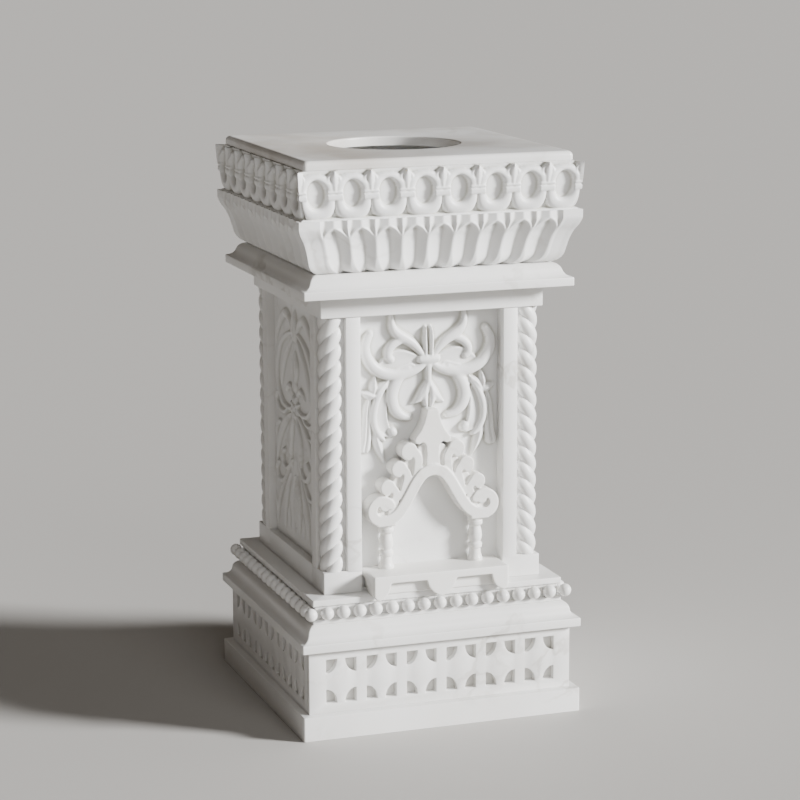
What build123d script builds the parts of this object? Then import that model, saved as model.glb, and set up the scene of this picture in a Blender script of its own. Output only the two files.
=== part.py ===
from build123d import *
from itertools import accumulate
from math import cos, pi, sin
import os

# Tulsi vrindavan planter: carved white marble courses stacked on a square plinth.
# Millimetres, +Z up, origin under the middle of the plinth, shrine side facing -Y.

# Heights of the courses, from the ground up
plinth_height = 26.0
jaali_height = 68.5
base_cornice_height = 26.2
bead_course_height = 25.6
shaft_height = 292.3
abacus_height = 23.4
top_cornice_height = 23.5
lotus_height = 57.5
frieze_height = 50.0
slab_height = 10.0

(jaali_z, base_cornice_z, bead_z, shaft_z, abacus_z, top_cornice_z, lotus_z, frieze_z,
 slab_z, top_z) = accumulate([
    plinth_height, jaali_height, base_cornice_height, bead_course_height, shaft_height,
    abacus_height, top_cornice_height, lotus_height, frieze_height, slab_height])

# Half widths of the courses
plinth_half = 155.0
core_half = 138.0
jaali_half = 146.3
base_lip_half = 155.5
base_lip_height = 9.2
base_neck_half = 137.5
bead_fillet_half = 139.0
shaft_half = 121.0
abacus_half = 122.5
top_lip_half = 147.7
top_lip_height = 9.0
top_neck_half = 128.5
lotus_foot_half = 127.0
lotus_belly_half = 136.5
lotus_belly_rise = 6.5
lotus_waist_half = 141.2
lotus_waist_rise = 18.0
lotus_lip_half = 153.8
lotus_lip_height = 8.0
frieze_foot_half = 151.3
frieze_lip_half = 155.0
slab_half = 146.2

# Carved frieze: rings with an oval opening, and triangular gaps between their feet
ring_count = 8
ring_opening = (8.2, 13.3)
ring_opening_z = 30.3
ring_opening_sides = 6
gap_half = 5.0
gap_foot_z = 3.0
gap_tip_z = 13.5
frieze_ground_half = 146.0

# Edges
plinth_chamfer = 1.0
slab_round = 5.0
opening_chamfer = 1.5
shelf_round = 2.5

# Planting well and drain
opening_radius = 71.0
lotus_well_half = 100.0
frieze_well_half = 112.0
drain_outlet_radius = 8.0
drain_radius = 10.0

# Pierced jaali panels
cell_count = 6
cell_pitch = 44.5
jaali_bar = 11.5
jaali_margin = 10.5
hole_width = 12.0
hole_height = 15.0
jaali_arc_steps = 2

# Bead course
beads_per_side = 17
bead_radius = 7.0
bead_ring_half = 142.2
bead_channel = 14.0
bead_foot = 5.0
bead_seat_half = 138.5
bead_sides = 6
bead_cap = 0.86
bead_taper = 22.0

# Corner posts with their rope columns
post_side = 42.0
post_block_height = 23.4
rope_radius = 12.0
rope_valley_radius = 9.4
rope_strands = 5
rope_lead = 72.0
rope_turn_step = 60.0
pilaster_offset = 26.0

# Carved panels, held in grooves of the posts
panel_recess = 18.0
panel_thickness = 14.0
tongue_depth = 6.0

# Main forms of the relief on the panels, as half outlines: strokes of (x, z) above the shaft's
# foot with their widths, and leaves from a root to a tip on the centre line
relief_height = 5.5
front_strokes = [
    ([(8, 233), (47, 226), (70, 256)], 11.0), ([(36, 221), (41, 198), (25, 182)], 10.0),
    ([(9, 248), (36, 270), (41, 286)], 8.0), ([(54, 214), (64, 178), (62, 156)], 9.0)]
front_leaves = [(246, 276, 7.0), (216, 191, 11.0)]
side_strokes = [
    ([(0, 258), (50, 241), (65, 208), (46, 176), (12, 172)], 7.0),
    ([(12, 168), (52, 141), (71, 102)], 9.5), ([(8, 162), (18, 128), (15, 104)], 9.0),
    ([(20, 100), (40, 60), (44, 32)], 9.0)]
side_leaves = [(250, 283, 7.5), (205, 239, 7.0), (100, 38, 8.0)]
rosette_z = 175.5
rosette_radius = 14.0

# Square dowel pins between the posts and the courses above and below
dowel_side = 8.0
dowel_reach = 12.0
dowel_inset = 17.0

# Shrine on the front: shelf, two balusters and a scrolled arch
shelf_half = 75.0
shelf_front = 149.0
shelf_top_z = 168.0
shelf_thickness = 8.0
apron_thickness = 5.0
pendant_tip_z = 141.5
centre_pendant_half = 16.5
end_pendant_width = 19.0
end_pendant_tip = 6.0
pendant_hollow = 0.62
side_foot_length = 12.0
side_slope = 14.0
ledge_half = 70.0
ledge_depth = 29.0
baluster_x = 50.0
baluster_radius = 8.0
baluster_ring = 7.5
baluster_waist = 5.9
baluster_turning = [(baluster_radius, 0), (baluster_radius, 3), (baluster_waist, 13),
                    (baluster_ring, 15), (baluster_ring, 18), (baluster_waist, 20),
                    (baluster_ring, 27), (baluster_waist, 37), (baluster_radius, 40)]
baluster_facets = 16
arch_depth = 21.0
arch_foot_z = 214.7
arch_band = 12.0
band_corners = [(-6, 271.5), (11.3, 271.5), (41.5, 221.2), (60, 221.2)]
band_radii = [20.0, 27.4]
scroll_x = 57.0
scroll_z = 231.5
scroll_radius = 16.5
scroll_eye = (55.5, 236.3)
scroll_groove_radius = 7.5
scroll_groove_width = 1.8
impost_width = 20.0
impost_height = 6.0
crockets = [(26.3, 292.5, 9.5, 17.5, 272.0), (37.5, 274.5, 8.8, 31.5, 252.0),
            (50.0, 255.5, 8.6, 45.5, 232.0)]
crocket_sides = 18
finial_top_z = 336.0
finial_top_half = 6.0
finial_side = (11.0, 320.0)
finial_lobe = [(20.5, 305.0), (19.5, 301.0), (14.0, 299.5)]
finial_neck_half = 6.7
finial_neck_z = 273.0

panel_front = shaft_half - panel_recess
panel_back = panel_front - panel_thickness
panel_half = shaft_half - post_side


def profile_solid(face, depth):
    """Extrude a section drawn on the XZ plane by the same depth to both sides."""
    return extrude(face, amount=depth, dir=(0, 1, 0), both=True)


def moulded_course(edge):
    """Square course with mitred corners, from the edge profile of its right side."""
    twin = mirror(edge, about=Plane.YZ)
    closing = [Line(twin @ 0, edge @ 0), Line(edge @ 1, twin @ 1)]
    section = make_face([*edge.edges(), *twin.edges(), *closing])
    bar = profile_solid(section, plinth_half + 10)
    return bar & bar.rotate(Axis.Z, 90)


def cyma(lip_half, lip_z, neck_half, neck_z):
    """S-shaped moulding line of two equal arcs: hollow beside the lip, full beside the neck."""
    middle = ((lip_half + neck_half) / 2, 0, (lip_z + neck_z) / 2)
    hollow = TangentArc((lip_half, 0, lip_z), middle, tangent=(-1, 0, 0))
    full = TangentArc(middle, (neck_half, 0, neck_z), tangent=hollow % 1)
    return hollow + full


def bore(radius, z, height):
    """Round cutter on the centre line."""
    return Pos(0, 0, z + height / 2) * Cylinder(radius, height)


def square_cutter(half, z, height):
    """Square cutter on the centre line."""
    return Pos(0, 0, z + height / 2) * Box(2 * half, 2 * half, height)


def at_four_corners(shape):
    """The shape of the front-left corner, turned to all four corners."""
    return [shape.rotate(Axis.Z, turn) for turn in (0, 90, 180, 270)]


def dowel_pins(joint_z):
    """Four pins through the joint at this height, one in each corner post."""
    place = shaft_half - dowel_inset
    pin = Pos(-place, -place, joint_z) * Box(dowel_side, dowel_side, 2 * dowel_reach)
    return at_four_corners(pin)


def less_dowels(shape, joint_z):
    """The shape with the four pin holes of the joint at this height."""
    for pin in dowel_pins(joint_z):
        shape = shape - pin
    return shape


# Base -------------------------------------------------------------------------------

def base_plinth():
    slab = Pos(0, 0, plinth_height / 2) * Box(2 * plinth_half, 2 * plinth_half, plinth_height)
    slab = chamfer(slab.faces().sort_by(Axis.Z)[-1].edges(), plinth_chamfer)
    return slab - bore(drain_outlet_radius, 0, plinth_height)


def base_core():
    core = square_cutter(core_half, jaali_z, jaali_height)
    return core - bore(drain_radius, jaali_z, jaali_height)


def jaali_hole(side_x, side_z):
    """Quarter-round piercing, square corner outwards, at one corner of a cell."""
    corner_x = side_x * (cell_pitch - jaali_bar) / 2
    corner_z = side_z * (jaali_height / 2 - jaali_margin)
    outline = [(corner_x, 0, corner_z)]
    for step in range(jaali_arc_steps + 1):
        angle = step / jaali_arc_steps * pi / 2
        outline.append((corner_x - side_x * hole_width * cos(angle), 0,
                        corner_z - side_z * hole_height * sin(angle)))
    return make_face(Polyline(outline, close=True))


def jaali_panel(half_width):
    """Pierced panel of the front side, six cells of four quarter-round holes."""
    thickness = jaali_half - core_half
    middle_y = -(core_half + jaali_half) / 2
    middle_z = jaali_z + jaali_height / 2
    panel = Pos(0, middle_y, middle_z) * Box(2 * half_width, thickness, jaali_height)
    cell = [profile_solid(jaali_hole(sx, sz), thickness) for sx in (-1, 1) for sz in (-1, 1)]
    holes = []
    for column in range(cell_count):
        centre_x = (column - (cell_count - 1) / 2) * cell_pitch
        holes += [Pos(centre_x, middle_y, middle_z) * hole for hole in cell]
    return panel - holes


def base_cornice():
    lip_z = base_cornice_z + base_lip_height
    lip = Line((base_lip_half, 0, base_cornice_z), (base_lip_half, 0, lip_z))
    edge = lip + cyma(base_lip_half, lip_z, base_neck_half, bead_z)
    return moulded_course(edge) - bore(drain_radius, base_cornice_z, base_cornice_height)


def bead():
    """One bead on the centre of the course, facetted: a hexagon tapered up and down."""
    outline = RegularPolygon(bead_radius, bead_sides, rotation=180 / bead_sides)
    upper = extrude(outline, amount=bead_cap * bead_radius, taper=bead_taper)
    return upper + mirror(upper, about=Plane.XY)


def bead_course():
    foot_z = bead_z + bead_foot
    head_z = foot_z + bead_channel
    edge = Polyline((bead_fillet_half, 0, bead_z), (bead_fillet_half, 0, foot_z),
                    (bead_seat_half, 0, foot_z), (bead_seat_half, 0, head_z),
                    (bead_fillet_half, 0, head_z), (bead_fillet_half, 0, shaft_z))
    course = moulded_course(edge)
    pitch = 2 * bead_ring_half / (beads_per_side - 1)
    row = []
    for number in range(beads_per_side - 1):
        place = Pos(number * pitch - bead_ring_half, -bead_ring_half, (foot_z + head_z) / 2)
        row.append(place * bead())
    beads = [item.rotate(Axis.Z, turn) for turn in (0, 90, 180, 270) for item in row]
    course = course + beads - bore(drain_radius, bead_z, bead_course_height)
    return less_dowels(course, shaft_z)


# Shaft ------------------------------------------------------------------------------

def ring_of_points(radii, turn, z):
    """Points round the Z axis, one for each radius, the first at this turn in radians."""
    angles = [turn + number * 2 * pi / len(radii) for number in range(len(radii))]
    return [(radius * cos(angle), radius * sin(angle), z) for radius, angle in zip(radii, angles)]


def facetted_solid(rings):
    """Closed solid of flat triangles between rings of points, each ring above the last."""
    faces = [Face(Wire.make_polygon(rings[0])), Face(Wire.make_polygon(rings[-1]))]
    for low, high in zip(rings, rings[1:]):
        for number in range(len(low)):
            after = (number + 1) % len(low)
            faces.append(Face(Wire.make_polygon((low[number], low[after], high[after]))))
            faces.append(Face(Wire.make_polygon((low[number], high[after], high[number]))))
    return Solid(Shell(faces))


def rope_column(height, hand):
    """Twisted rope column on the Z axis: star sections turned a little from ring to ring."""
    steps = round(height / rope_lead * 360 / rope_turn_step)
    turn_step = hand * 2 * pi * height / rope_lead / steps
    star = [rope_radius, rope_valley_radius] * rope_strands
    return facetted_solid([ring_of_points(star, level * turn_step, level * height / steps)
                           for level in range(steps + 1)])


def corner_post(hand):
    """Front-left post: square block, pilaster strips, rope column and panel grooves."""
    rope_height = shaft_height - post_block_height
    side = post_side
    inset = pilaster_offset
    block = Pos(side / 2, side / 2, post_block_height / 2) * Box(side, side, post_block_height)
    outline = Polyline((inset, 0), (side, 0), (side, side), (0, side), (0, inset), (inset, inset),
                       close=True)
    strips = extrude(Pos(0, 0, post_block_height) * make_face(outline), amount=rope_height)
    rope = Pos(rope_radius, rope_radius, post_block_height) * rope_column(rope_height, hand)
    groove_middle = panel_recess + panel_thickness / 2
    groove = Box(2 * tongue_depth, panel_thickness, 2 * shaft_height)
    post = block + strips + rope
    post = post - Pos(side, groove_middle, shaft_height / 2) * groove
    post = post - Pos(groove_middle, side, shaft_height / 2) * groove.rotate(Axis.Z, 90)
    post = Pos(-shaft_half, -shaft_half, shaft_z) * post
    return less_dowels(less_dowels(post, shaft_z), abacus_z)


def kite(root_z, tip_z, half_width):
    """Pointed leaf on the centre line, widest at a third of its length."""
    shoulder_z = root_z + (tip_z - root_z) / 3
    return make_face(Polyline([(0, root_z), (half_width, shoulder_z), (0, tip_z),
                               (-half_width, shoulder_z)], close=True))


def relief(strokes, leaves):
    """Outline of the relief: the strokes of the right half, their twins and the leaves."""
    half = [trace(Polyline(*line), line_width=width) for line, width in strokes]
    outline = half[0] + half[1:]
    outline = outline + mirror(outline, about=Plane.YZ)
    return outline + [kite(*leaf) for leaf in leaves]


def carved_panel(outline):
    """Front panel slab with its relief, which stands in the grooves of its two posts."""
    width = 2 * (panel_half + tongue_depth)
    middle_y = -(panel_front + panel_back) / 2
    slab = Pos(0, middle_y, shaft_z + shaft_height / 2) * Box(width, panel_thickness, shaft_height)
    raised = extrude(Plane.XZ * outline, amount=relief_height)
    return slab + Pos(0, -panel_front, shaft_z) * raised


def side_relief():
    """Outline of the side and back panels: an oval of stems round a rosette, and hanging leaves."""
    rosette = Pos(0, rosette_z) * RegularPolygon(rosette_radius, 8)
    return relief(side_strokes, side_leaves) + rosette


# Head -------------------------------------------------------------------------------

def abacus():
    slab = square_cutter(abacus_half, abacus_z, abacus_height)
    slab = slab - bore(drain_radius, abacus_z, abacus_height)
    return less_dowels(slab, abacus_z)


def top_cornice():
    lip_z = top_cornice_z + top_lip_height
    lip = Line((top_lip_half, 0, top_cornice_z), (top_lip_half, 0, lip_z))
    edge = lip + cyma(top_lip_half, lip_z, top_neck_half, lotus_z)
    return moulded_course(edge) - bore(drain_radius, top_cornice_z, top_cornice_height)


def lotus_course():
    """Flared lotus course: a full belly at the foot, hollowed below the lip."""
    belly = ThreePointArc((lotus_foot_half, 0, lotus_z),
                          (lotus_belly_half, 0, lotus_z + lotus_belly_rise),
                          (lotus_waist_half, 0, lotus_z + lotus_waist_rise))
    lip_foot = (lotus_lip_half, 0, frieze_z - lotus_lip_height)
    flare = TangentArc(belly @ 1, lip_foot, tangent=belly % 1)
    lip = Line(flare @ 1, (lotus_lip_half, 0, frieze_z))
    course = moulded_course(belly + flare + lip)
    return course - square_cutter(lotus_well_half, lotus_z, lotus_height)


def ring_pockets():
    """Cutters of one ring on the front side: its oval opening and the gap beside its foot."""
    across, up = ring_opening
    angles = [(number + 0.5) * 2 * pi / ring_opening_sides for number in range(ring_opening_sides)]
    oval = make_face(Polyline([(across * cos(angle), ring_opening_z + up * sin(angle))
                               for angle in angles], close=True))
    pitch = 2 * frieze_lip_half / ring_count
    gap = Pos(pitch / 2, 0) * make_face(Polyline([
        (-gap_half, gap_foot_z), (gap_half, gap_foot_z), (0, gap_tip_z)], close=True))
    return oval, gap


def frieze_course():
    face = Line((frieze_foot_half, 0, frieze_z), (frieze_lip_half, 0, slab_z))
    course = moulded_course(face) - square_cutter(frieze_well_half, frieze_z, frieze_height)
    oval, gap = [extrude(Plane.XZ * pocket, amount=plinth_half) for pocket in ring_pockets()]
    pitch = 2 * frieze_lip_half / ring_count
    row = []
    for number in range(ring_count):
        place = Pos((number - (ring_count - 1) / 2) * pitch, -frieze_ground_half, frieze_z)
        row.append(place * oval)
        if number < ring_count - 1:
            row.append(place * gap)
    return course - [cutter.rotate(Axis.Z, turn) for turn in (0, 90, 180, 270) for cutter in row]


def top_slab():
    side = Line((slab_half, 0, slab_z), (slab_half, 0, top_z - slab_round))
    nosing = TangentArc(side @ 1, (slab_half - slab_round, 0, top_z), tangent=(0, 0, 1))
    slab = moulded_course(side + nosing) - bore(opening_radius, slab_z, slab_height)
    rim = slab.edges().filter_by(GeomType.CIRCLE).sort_by(Axis.Z)[-1]
    return chamfer(rim, opening_chamfer)


# Shrine -----------------------------------------------------------------------------

def pendant(left_x, tip_x, right_x, top_z):
    """Pointed drop below the shelf: two hollow curves that meet in the tip."""
    tip = (tip_x, 0, pendant_tip_z)
    left = (left_x, 0, top_z)
    right = (right_x, 0, top_z)
    edges = [Line(left, right)]
    for end in (right, left):
        if abs(end[0] - tip_x) < 1:
            edges.append(Line(end, tip))
        else:
            knee = (tip_x + pendant_hollow * (end[0] - tip_x), 0,
                    top_z - pendant_hollow * (top_z - pendant_tip_z))
            edges.append(ThreePointArc(end, knee, tip))
    return make_face(edges)


def shrine_shelf():
    under_z = shelf_top_z - shelf_thickness
    depth = shelf_front - panel_front
    slab = Pos(0, -(shelf_front + panel_front) / 2, (under_z + shelf_top_z) / 2) * Box(
        2 * shelf_half, depth, shelf_thickness)
    top_edges = slab.faces().sort_by(Axis.Z)[-1].edges().sort_by(Axis.Y)[:3]
    slab = fillet(top_edges, shelf_round)
    inner = shelf_half - end_pendant_width
    drops = [pendant(-centre_pendant_half, 0, centre_pendant_half, under_z),
             pendant(inner, shelf_half - end_pendant_tip, shelf_half, under_z),
             pendant(-shelf_half, end_pendant_tip - shelf_half, -inner, under_z)]
    front_middle = shelf_front - apron_thickness / 2
    apron = [Pos(0, -front_middle, 0) * profile_solid(drop, apron_thickness / 2) for drop in drops]
    foot_back = bead_fillet_half - side_foot_length
    side_outline = [(-shelf_front, under_z), (-shelf_front, shaft_z),
                    (-foot_back, shaft_z), (side_slope - foot_back, under_z)]
    cheek = extrude(Plane.YZ * make_face(Polyline(side_outline, close=True)), amount=apron_thickness)
    cheeks = [Pos(-shelf_half, 0, 0) * cheek, Pos(shelf_half - apron_thickness, 0, 0) * cheek]
    ledge = Pos(0, -(panel_front + ledge_depth / 2), (shaft_z + under_z) / 2) * Box(
        2 * ledge_half, ledge_depth, under_z - shaft_z)
    return slab + apron + cheeks + ledge


def shrine_baluster(side):
    """Turned baluster in facets: bell foot, ring, slim vase and cap."""
    turning = [*baluster_turning, (baluster_radius, arch_foot_z - shelf_top_z)]
    rings = [ring_of_points([radius] * baluster_facets, 0, height) for radius, height in turning]
    place = Pos(side * baluster_x, -(panel_front + arch_depth / 2), shelf_top_z)
    return place * facetted_solid(rings)


def crocket(head_x, head_z, radius, tail_x, tail_z):
    """Comma-shaped leaf of the arch: a round head with a tail that runs to the band."""
    head = Pos(head_x, head_z) * RegularPolygon(radius, crocket_sides)
    start = (head_x - 0.1 * radius, head_z + 0.62 * radius)
    shoulder = (head_x - radius, head_z - 0.15 * radius)
    tail = ThreePointArc(start, shoulder, (tail_x, tail_z))
    return head + trace(tail, line_width=0.76 * radius)


def finial_half():
    """Right half of the fan-shaped finial and its neck."""
    top = (finial_top_half, finial_top_z)
    lobe_tip, lobe_round, lobe_end = finial_lobe
    neck_top = (finial_neck_half, lobe_end[1])
    neck_foot = (finial_neck_half, finial_neck_z)
    inner_foot = (-2, finial_neck_z)
    inner_top = (-2, finial_top_z)
    return make_face([
        Line(inner_top, top), ThreePointArc(top, finial_side, lobe_tip),
        ThreePointArc(lobe_tip, lobe_round, lobe_end), Line(lobe_end, neck_top),
        Line(neck_top, neck_foot), Line(neck_foot, inner_foot), Line(inner_foot, inner_top)])


def arch_half():
    """Right half of the arch's outline, drawn flat with Z as the second coordinate."""
    band = trace(FilletPolyline(*band_corners, radius=band_radii), line_width=arch_band)
    scroll = Pos(scroll_x, scroll_z) * Circle(scroll_radius)
    impost_place = Pos(baluster_x + 2, arch_foot_z + impost_height / 2)
    impost = impost_place * Rectangle(impost_width, impost_height)
    outline = band + scroll + impost + finial_half()
    for leaf in crockets:
        outline = outline + crocket(*leaf)
    groove = Pos(*scroll_eye) * CenterArc((0, 0), scroll_groove_radius, 170, 205)
    return outline - trace(groove, line_width=scroll_groove_width)


def shrine_arch():
    half = arch_half()
    whole = half + mirror(half, about=Plane.YZ)
    solid = extrude(Plane.XZ * whole, amount=arch_depth)
    return Pos(0, -panel_front, 0) * solid


# All the nodes, and their files -------------------------------------------------------

def side_nodes(name, shapes):
    """Name four shapes for the sides, from the front round by the right."""
    return {f"{name}_{side}": shape for side, shape in zip(("front", "right", "back", "left"), shapes)}


def all_nodes():
    wide_jaali = jaali_panel(jaali_half)
    narrow_jaali = jaali_panel(core_half)
    nodes = {"base_plinth": base_plinth(), "base_core": base_core()}
    nodes.update(side_nodes("jaali_panel", [
        wide_jaali, narrow_jaali.rotate(Axis.Z, 90),
        wide_jaali.rotate(Axis.Z, 180), narrow_jaali.rotate(Axis.Z, 270)]))
    nodes["base_cornice"] = base_cornice()
    nodes["bead_course"] = bead_course()
    left_post = corner_post(1)
    right_post = mirror(left_post, about=Plane.YZ)
    nodes["corner_post_front_left"] = left_post
    nodes["corner_post_front_right"] = right_post
    nodes["corner_post_back_right"] = left_post.rotate(Axis.Z, 180)
    nodes["corner_post_back_left"] = right_post.rotate(Axis.Z, 180)
    side_panel = carved_panel(side_relief())
    nodes.update(side_nodes("carved_panel", [
        carved_panel(relief(front_strokes, front_leaves)), side_panel.rotate(Axis.Z, 90),
        side_panel.rotate(Axis.Z, 180), side_panel.rotate(Axis.Z, 270)]))
    nodes["post_dowels_lower"] = Compound(dowel_pins(shaft_z))
    nodes["post_dowels_upper"] = Compound(dowel_pins(abacus_z))
    nodes["abacus"] = abacus()
    nodes["top_cornice"] = top_cornice()
    nodes["lotus_course"] = lotus_course()
    nodes["frieze_course"] = frieze_course()
    nodes["top_slab"] = top_slab()
    nodes["shrine_shelf"] = shrine_shelf()
    nodes["shrine_baluster_left"] = shrine_baluster(-1)
    nodes["shrine_baluster_right"] = shrine_baluster(1)
    nodes["shrine_arch"] = shrine_arch()
    return nodes


os.makedirs("parts", exist_ok=True)
for node_name, node_shape in all_nodes().items():
    export_step(node_shape, f"parts/{node_name}.step")
    print(node_name, round(node_shape.volume / 1000, 1), "cm3")
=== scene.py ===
import bpy
import bmesh
import numpy as np
from math import atan2, cos, pi, radians, sin, tau
from mathutils import Matrix, Vector


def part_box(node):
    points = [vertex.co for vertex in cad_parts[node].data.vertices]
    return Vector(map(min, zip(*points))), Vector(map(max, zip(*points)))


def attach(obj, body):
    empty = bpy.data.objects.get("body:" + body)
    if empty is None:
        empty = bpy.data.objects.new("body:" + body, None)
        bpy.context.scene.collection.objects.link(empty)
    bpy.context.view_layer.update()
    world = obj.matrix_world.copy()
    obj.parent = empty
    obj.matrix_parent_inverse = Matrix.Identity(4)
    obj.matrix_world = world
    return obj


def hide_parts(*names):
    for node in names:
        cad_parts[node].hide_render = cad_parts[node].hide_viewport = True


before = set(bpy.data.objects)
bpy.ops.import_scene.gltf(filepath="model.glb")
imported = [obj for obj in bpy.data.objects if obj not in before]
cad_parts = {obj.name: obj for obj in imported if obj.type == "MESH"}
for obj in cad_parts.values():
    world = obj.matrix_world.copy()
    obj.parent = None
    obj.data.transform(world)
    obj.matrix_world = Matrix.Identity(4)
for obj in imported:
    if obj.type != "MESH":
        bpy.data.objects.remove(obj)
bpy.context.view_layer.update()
mm = 0.001   # sizes in this file are millimetres, the scene is in metres


def levelsOf(node):
    low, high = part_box(node)
    return low.z / mm, high.z / mm


def halfOf(node):
    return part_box(node)[1].x / mm


# these build the shader trees and the geometry trees alike
def addNode(tree, kind, inputs=None, **settings):
    node = tree.nodes.new(kind)
    for label, value in settings.items():
        setattr(node, label, value)
    for label, value in (inputs or {}).items():
        socket = node.inputs[label]
        if isinstance(value, bpy.types.NodeSocket):
            tree.links.new(value, socket)
        else:
            socket.default_value = value
    return node


def startTree(name, kind, inputs, outputs):
    # inputs: label, kind of socket, and its value if it has one
    tree = bpy.data.node_groups.new(name, kind)
    for label, socketKind, *value in inputs:
        socket = tree.interface.new_socket(label, in_out="INPUT", socket_type="NodeSocket" + socketKind)
        if value:
            socket.default_value = value[0]
    for label, socketKind in outputs:
        tree.interface.new_socket(label, in_out="OUTPUT", socket_type="NodeSocket" + socketKind)
    return tree, addNode(tree, "NodeGroupInput").outputs


def addMath(tree, operation, first, second=0.0, third=0.0):
    return addNode(tree, "ShaderNodeMath", {0: first, 1: second, 2: third}, operation=operation).outputs[0]


def addNoise(tree, vector, scale, detail, roughness=0.5):
    return addNode(tree, "ShaderNodeTexNoise", {
        "Vector": vector, "Scale": scale, "Detail": detail, "Roughness": roughness}).outputs


def addRange(tree, value, start, end, low=0.0, high=1.0, curve="LINEAR"):
    return addNode(tree, "ShaderNodeMapRange", {
        "Value": value, "From Min": start, "From Max": end, "To Min": low, "To Max": high},
        interpolation_type=curve).outputs[0]


def addMix(tree, share, first, second):
    return addNode(tree, "ShaderNodeMixRGB", {0: share, 1: first, 2: second}).outputs[0]


def addMapping(tree, vector, **settings):
    values = {label.capitalize(): value for label, value in settings.items()}
    return addNode(tree, "ShaderNodeMapping", {"Vector": vector, **values}).outputs[0]


marbleLook = {"veinScale": 7.0, "veinWidth": 0.02, "cloudScale": 3.2, "grainSize": 900.0, "bumpDistance": 0.0003}


def makeVeinGroup():
    tree, given = startTree("marbleVeins", "ShaderNodeTree", (
        ("Vector", "Vector"), ("Vein Scale", "Float", 7.0), ("Vein Width", "Float", 0.02),
        ("Vein Amount", "Float", 0.3), ("Cloud Scale", "Float", 3.2), ("Cloud Amount", "Float", 0.2),
        ("Stone", "Color", (0.84, 0.83, 0.81, 1)), ("Cloud", "Color", (0.74, 0.74, 0.72, 1)),
        ("Vein", "Color", (0.52, 0.5, 0.46, 1)), ("Dust", "Color", (0.5, 0.49, 0.44, 1)),
        ("Crevice", "Float", 0.0)), (("Color", "Color"),))
    # the place is bent by a slow swirl, so that veins and clouds drift together
    swirl = addNoise(tree, given["Vector"], given["Cloud Scale"], 3.0)["Color"]
    bend = addNode(tree, "ShaderNodeVectorMath", {0: swirl, 1: (0.5, 0.5, 0.5)}, operation="SUBTRACT").outputs[0]
    bend = addNode(tree, "ShaderNodeVectorMath", {0: bend, "Scale": 0.16}, operation="SCALE").outputs[0]
    bent = addNode(tree, "ShaderNodeVectorMath", {0: given["Vector"], 1: bend}, operation="ADD").outputs[0]
    stretched = addMapping(tree, bent, rotation=(0.5, 0.7, 0.3), scale=(1.0, 0.45, 1.0))
    # a vein lies where the noise crosses its middle value
    lines = addNoise(tree, stretched, given["Vein Scale"], 5.0, 0.55)["Fac"]
    distance = addMath(tree, "ABSOLUTE", addMath(tree, "SUBTRACT", lines, 0.5))
    thin = addRange(tree, distance, 0.0, given["Vein Width"], 1.0, 0.0, "SMOOTHSTEP")
    where = addRange(tree, addNoise(tree, given["Vector"], 9.0, 1.0)["Fac"], 0.5, 0.68)
    vein = addMath(tree, "MULTIPLY", addMath(tree, "MULTIPLY", thin, where), given["Vein Amount"])
    cloud = addRange(tree, addNoise(tree, bent, given["Cloud Scale"], 4.0, 0.6)["Fac"], 0.42, 0.7)
    cloud = addMath(tree, "MULTIPLY", cloud, given["Cloud Amount"])
    clouded = addMix(tree, cloud, given["Stone"], given["Cloud"])
    veined = addMix(tree, vein, clouded, given["Vein"])
    # painted shade: the Crevice Shade amount darkens the stone towards the Painted Shade colour in hollows, standing in
    # for the shade that falls there
    addNode(tree, "NodeGroupOutput", {"Color": addMix(tree, given["Crevice"], veined, given["Dust"])})
    return tree


def makeGrainGroup():
    tree, given = startTree("stoneGrain", "ShaderNodeTree", (
        ("Vector", "Vector"), ("Grain Size", "Float", 900.0), ("Tool Marks", "Float", 0.3),
        ("Smoothness", "Float", 0.4)), (("Height", "Float"), ("Roughness", "Float")))
    crystals = addNoise(tree, given["Vector"], given["Grain Size"], 2.0)["Fac"]
    strokes = addNoise(tree, addMapping(tree, given["Vector"], scale=(1.0, 1.0, 0.35)), 160.0, 3.0)["Fac"]
    patches = addNoise(tree, given["Vector"], 24.0, 3.0)["Fac"]
    addNode(tree, "NodeGroupOutput", {
        "Height": addMath(tree, "MULTIPLY_ADD", strokes, given["Tool Marks"], crystals),
        "Roughness": addMath(tree, "MULTIPLY_ADD", addMath(tree, "SUBTRACT", patches, 0.5), 0.3, given["Smoothness"])})
    return tree


veinGroup = makeVeinGroup()
grainGroup = makeGrainGroup()


def newMaterial(name):
    material = bpy.data.materials.new(name)
    material.use_nodes = True
    material.node_tree.nodes.clear()
    return material, material.node_tree, addNode(material.node_tree, "ShaderNodeTexCoord").outputs["Object"]


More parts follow.
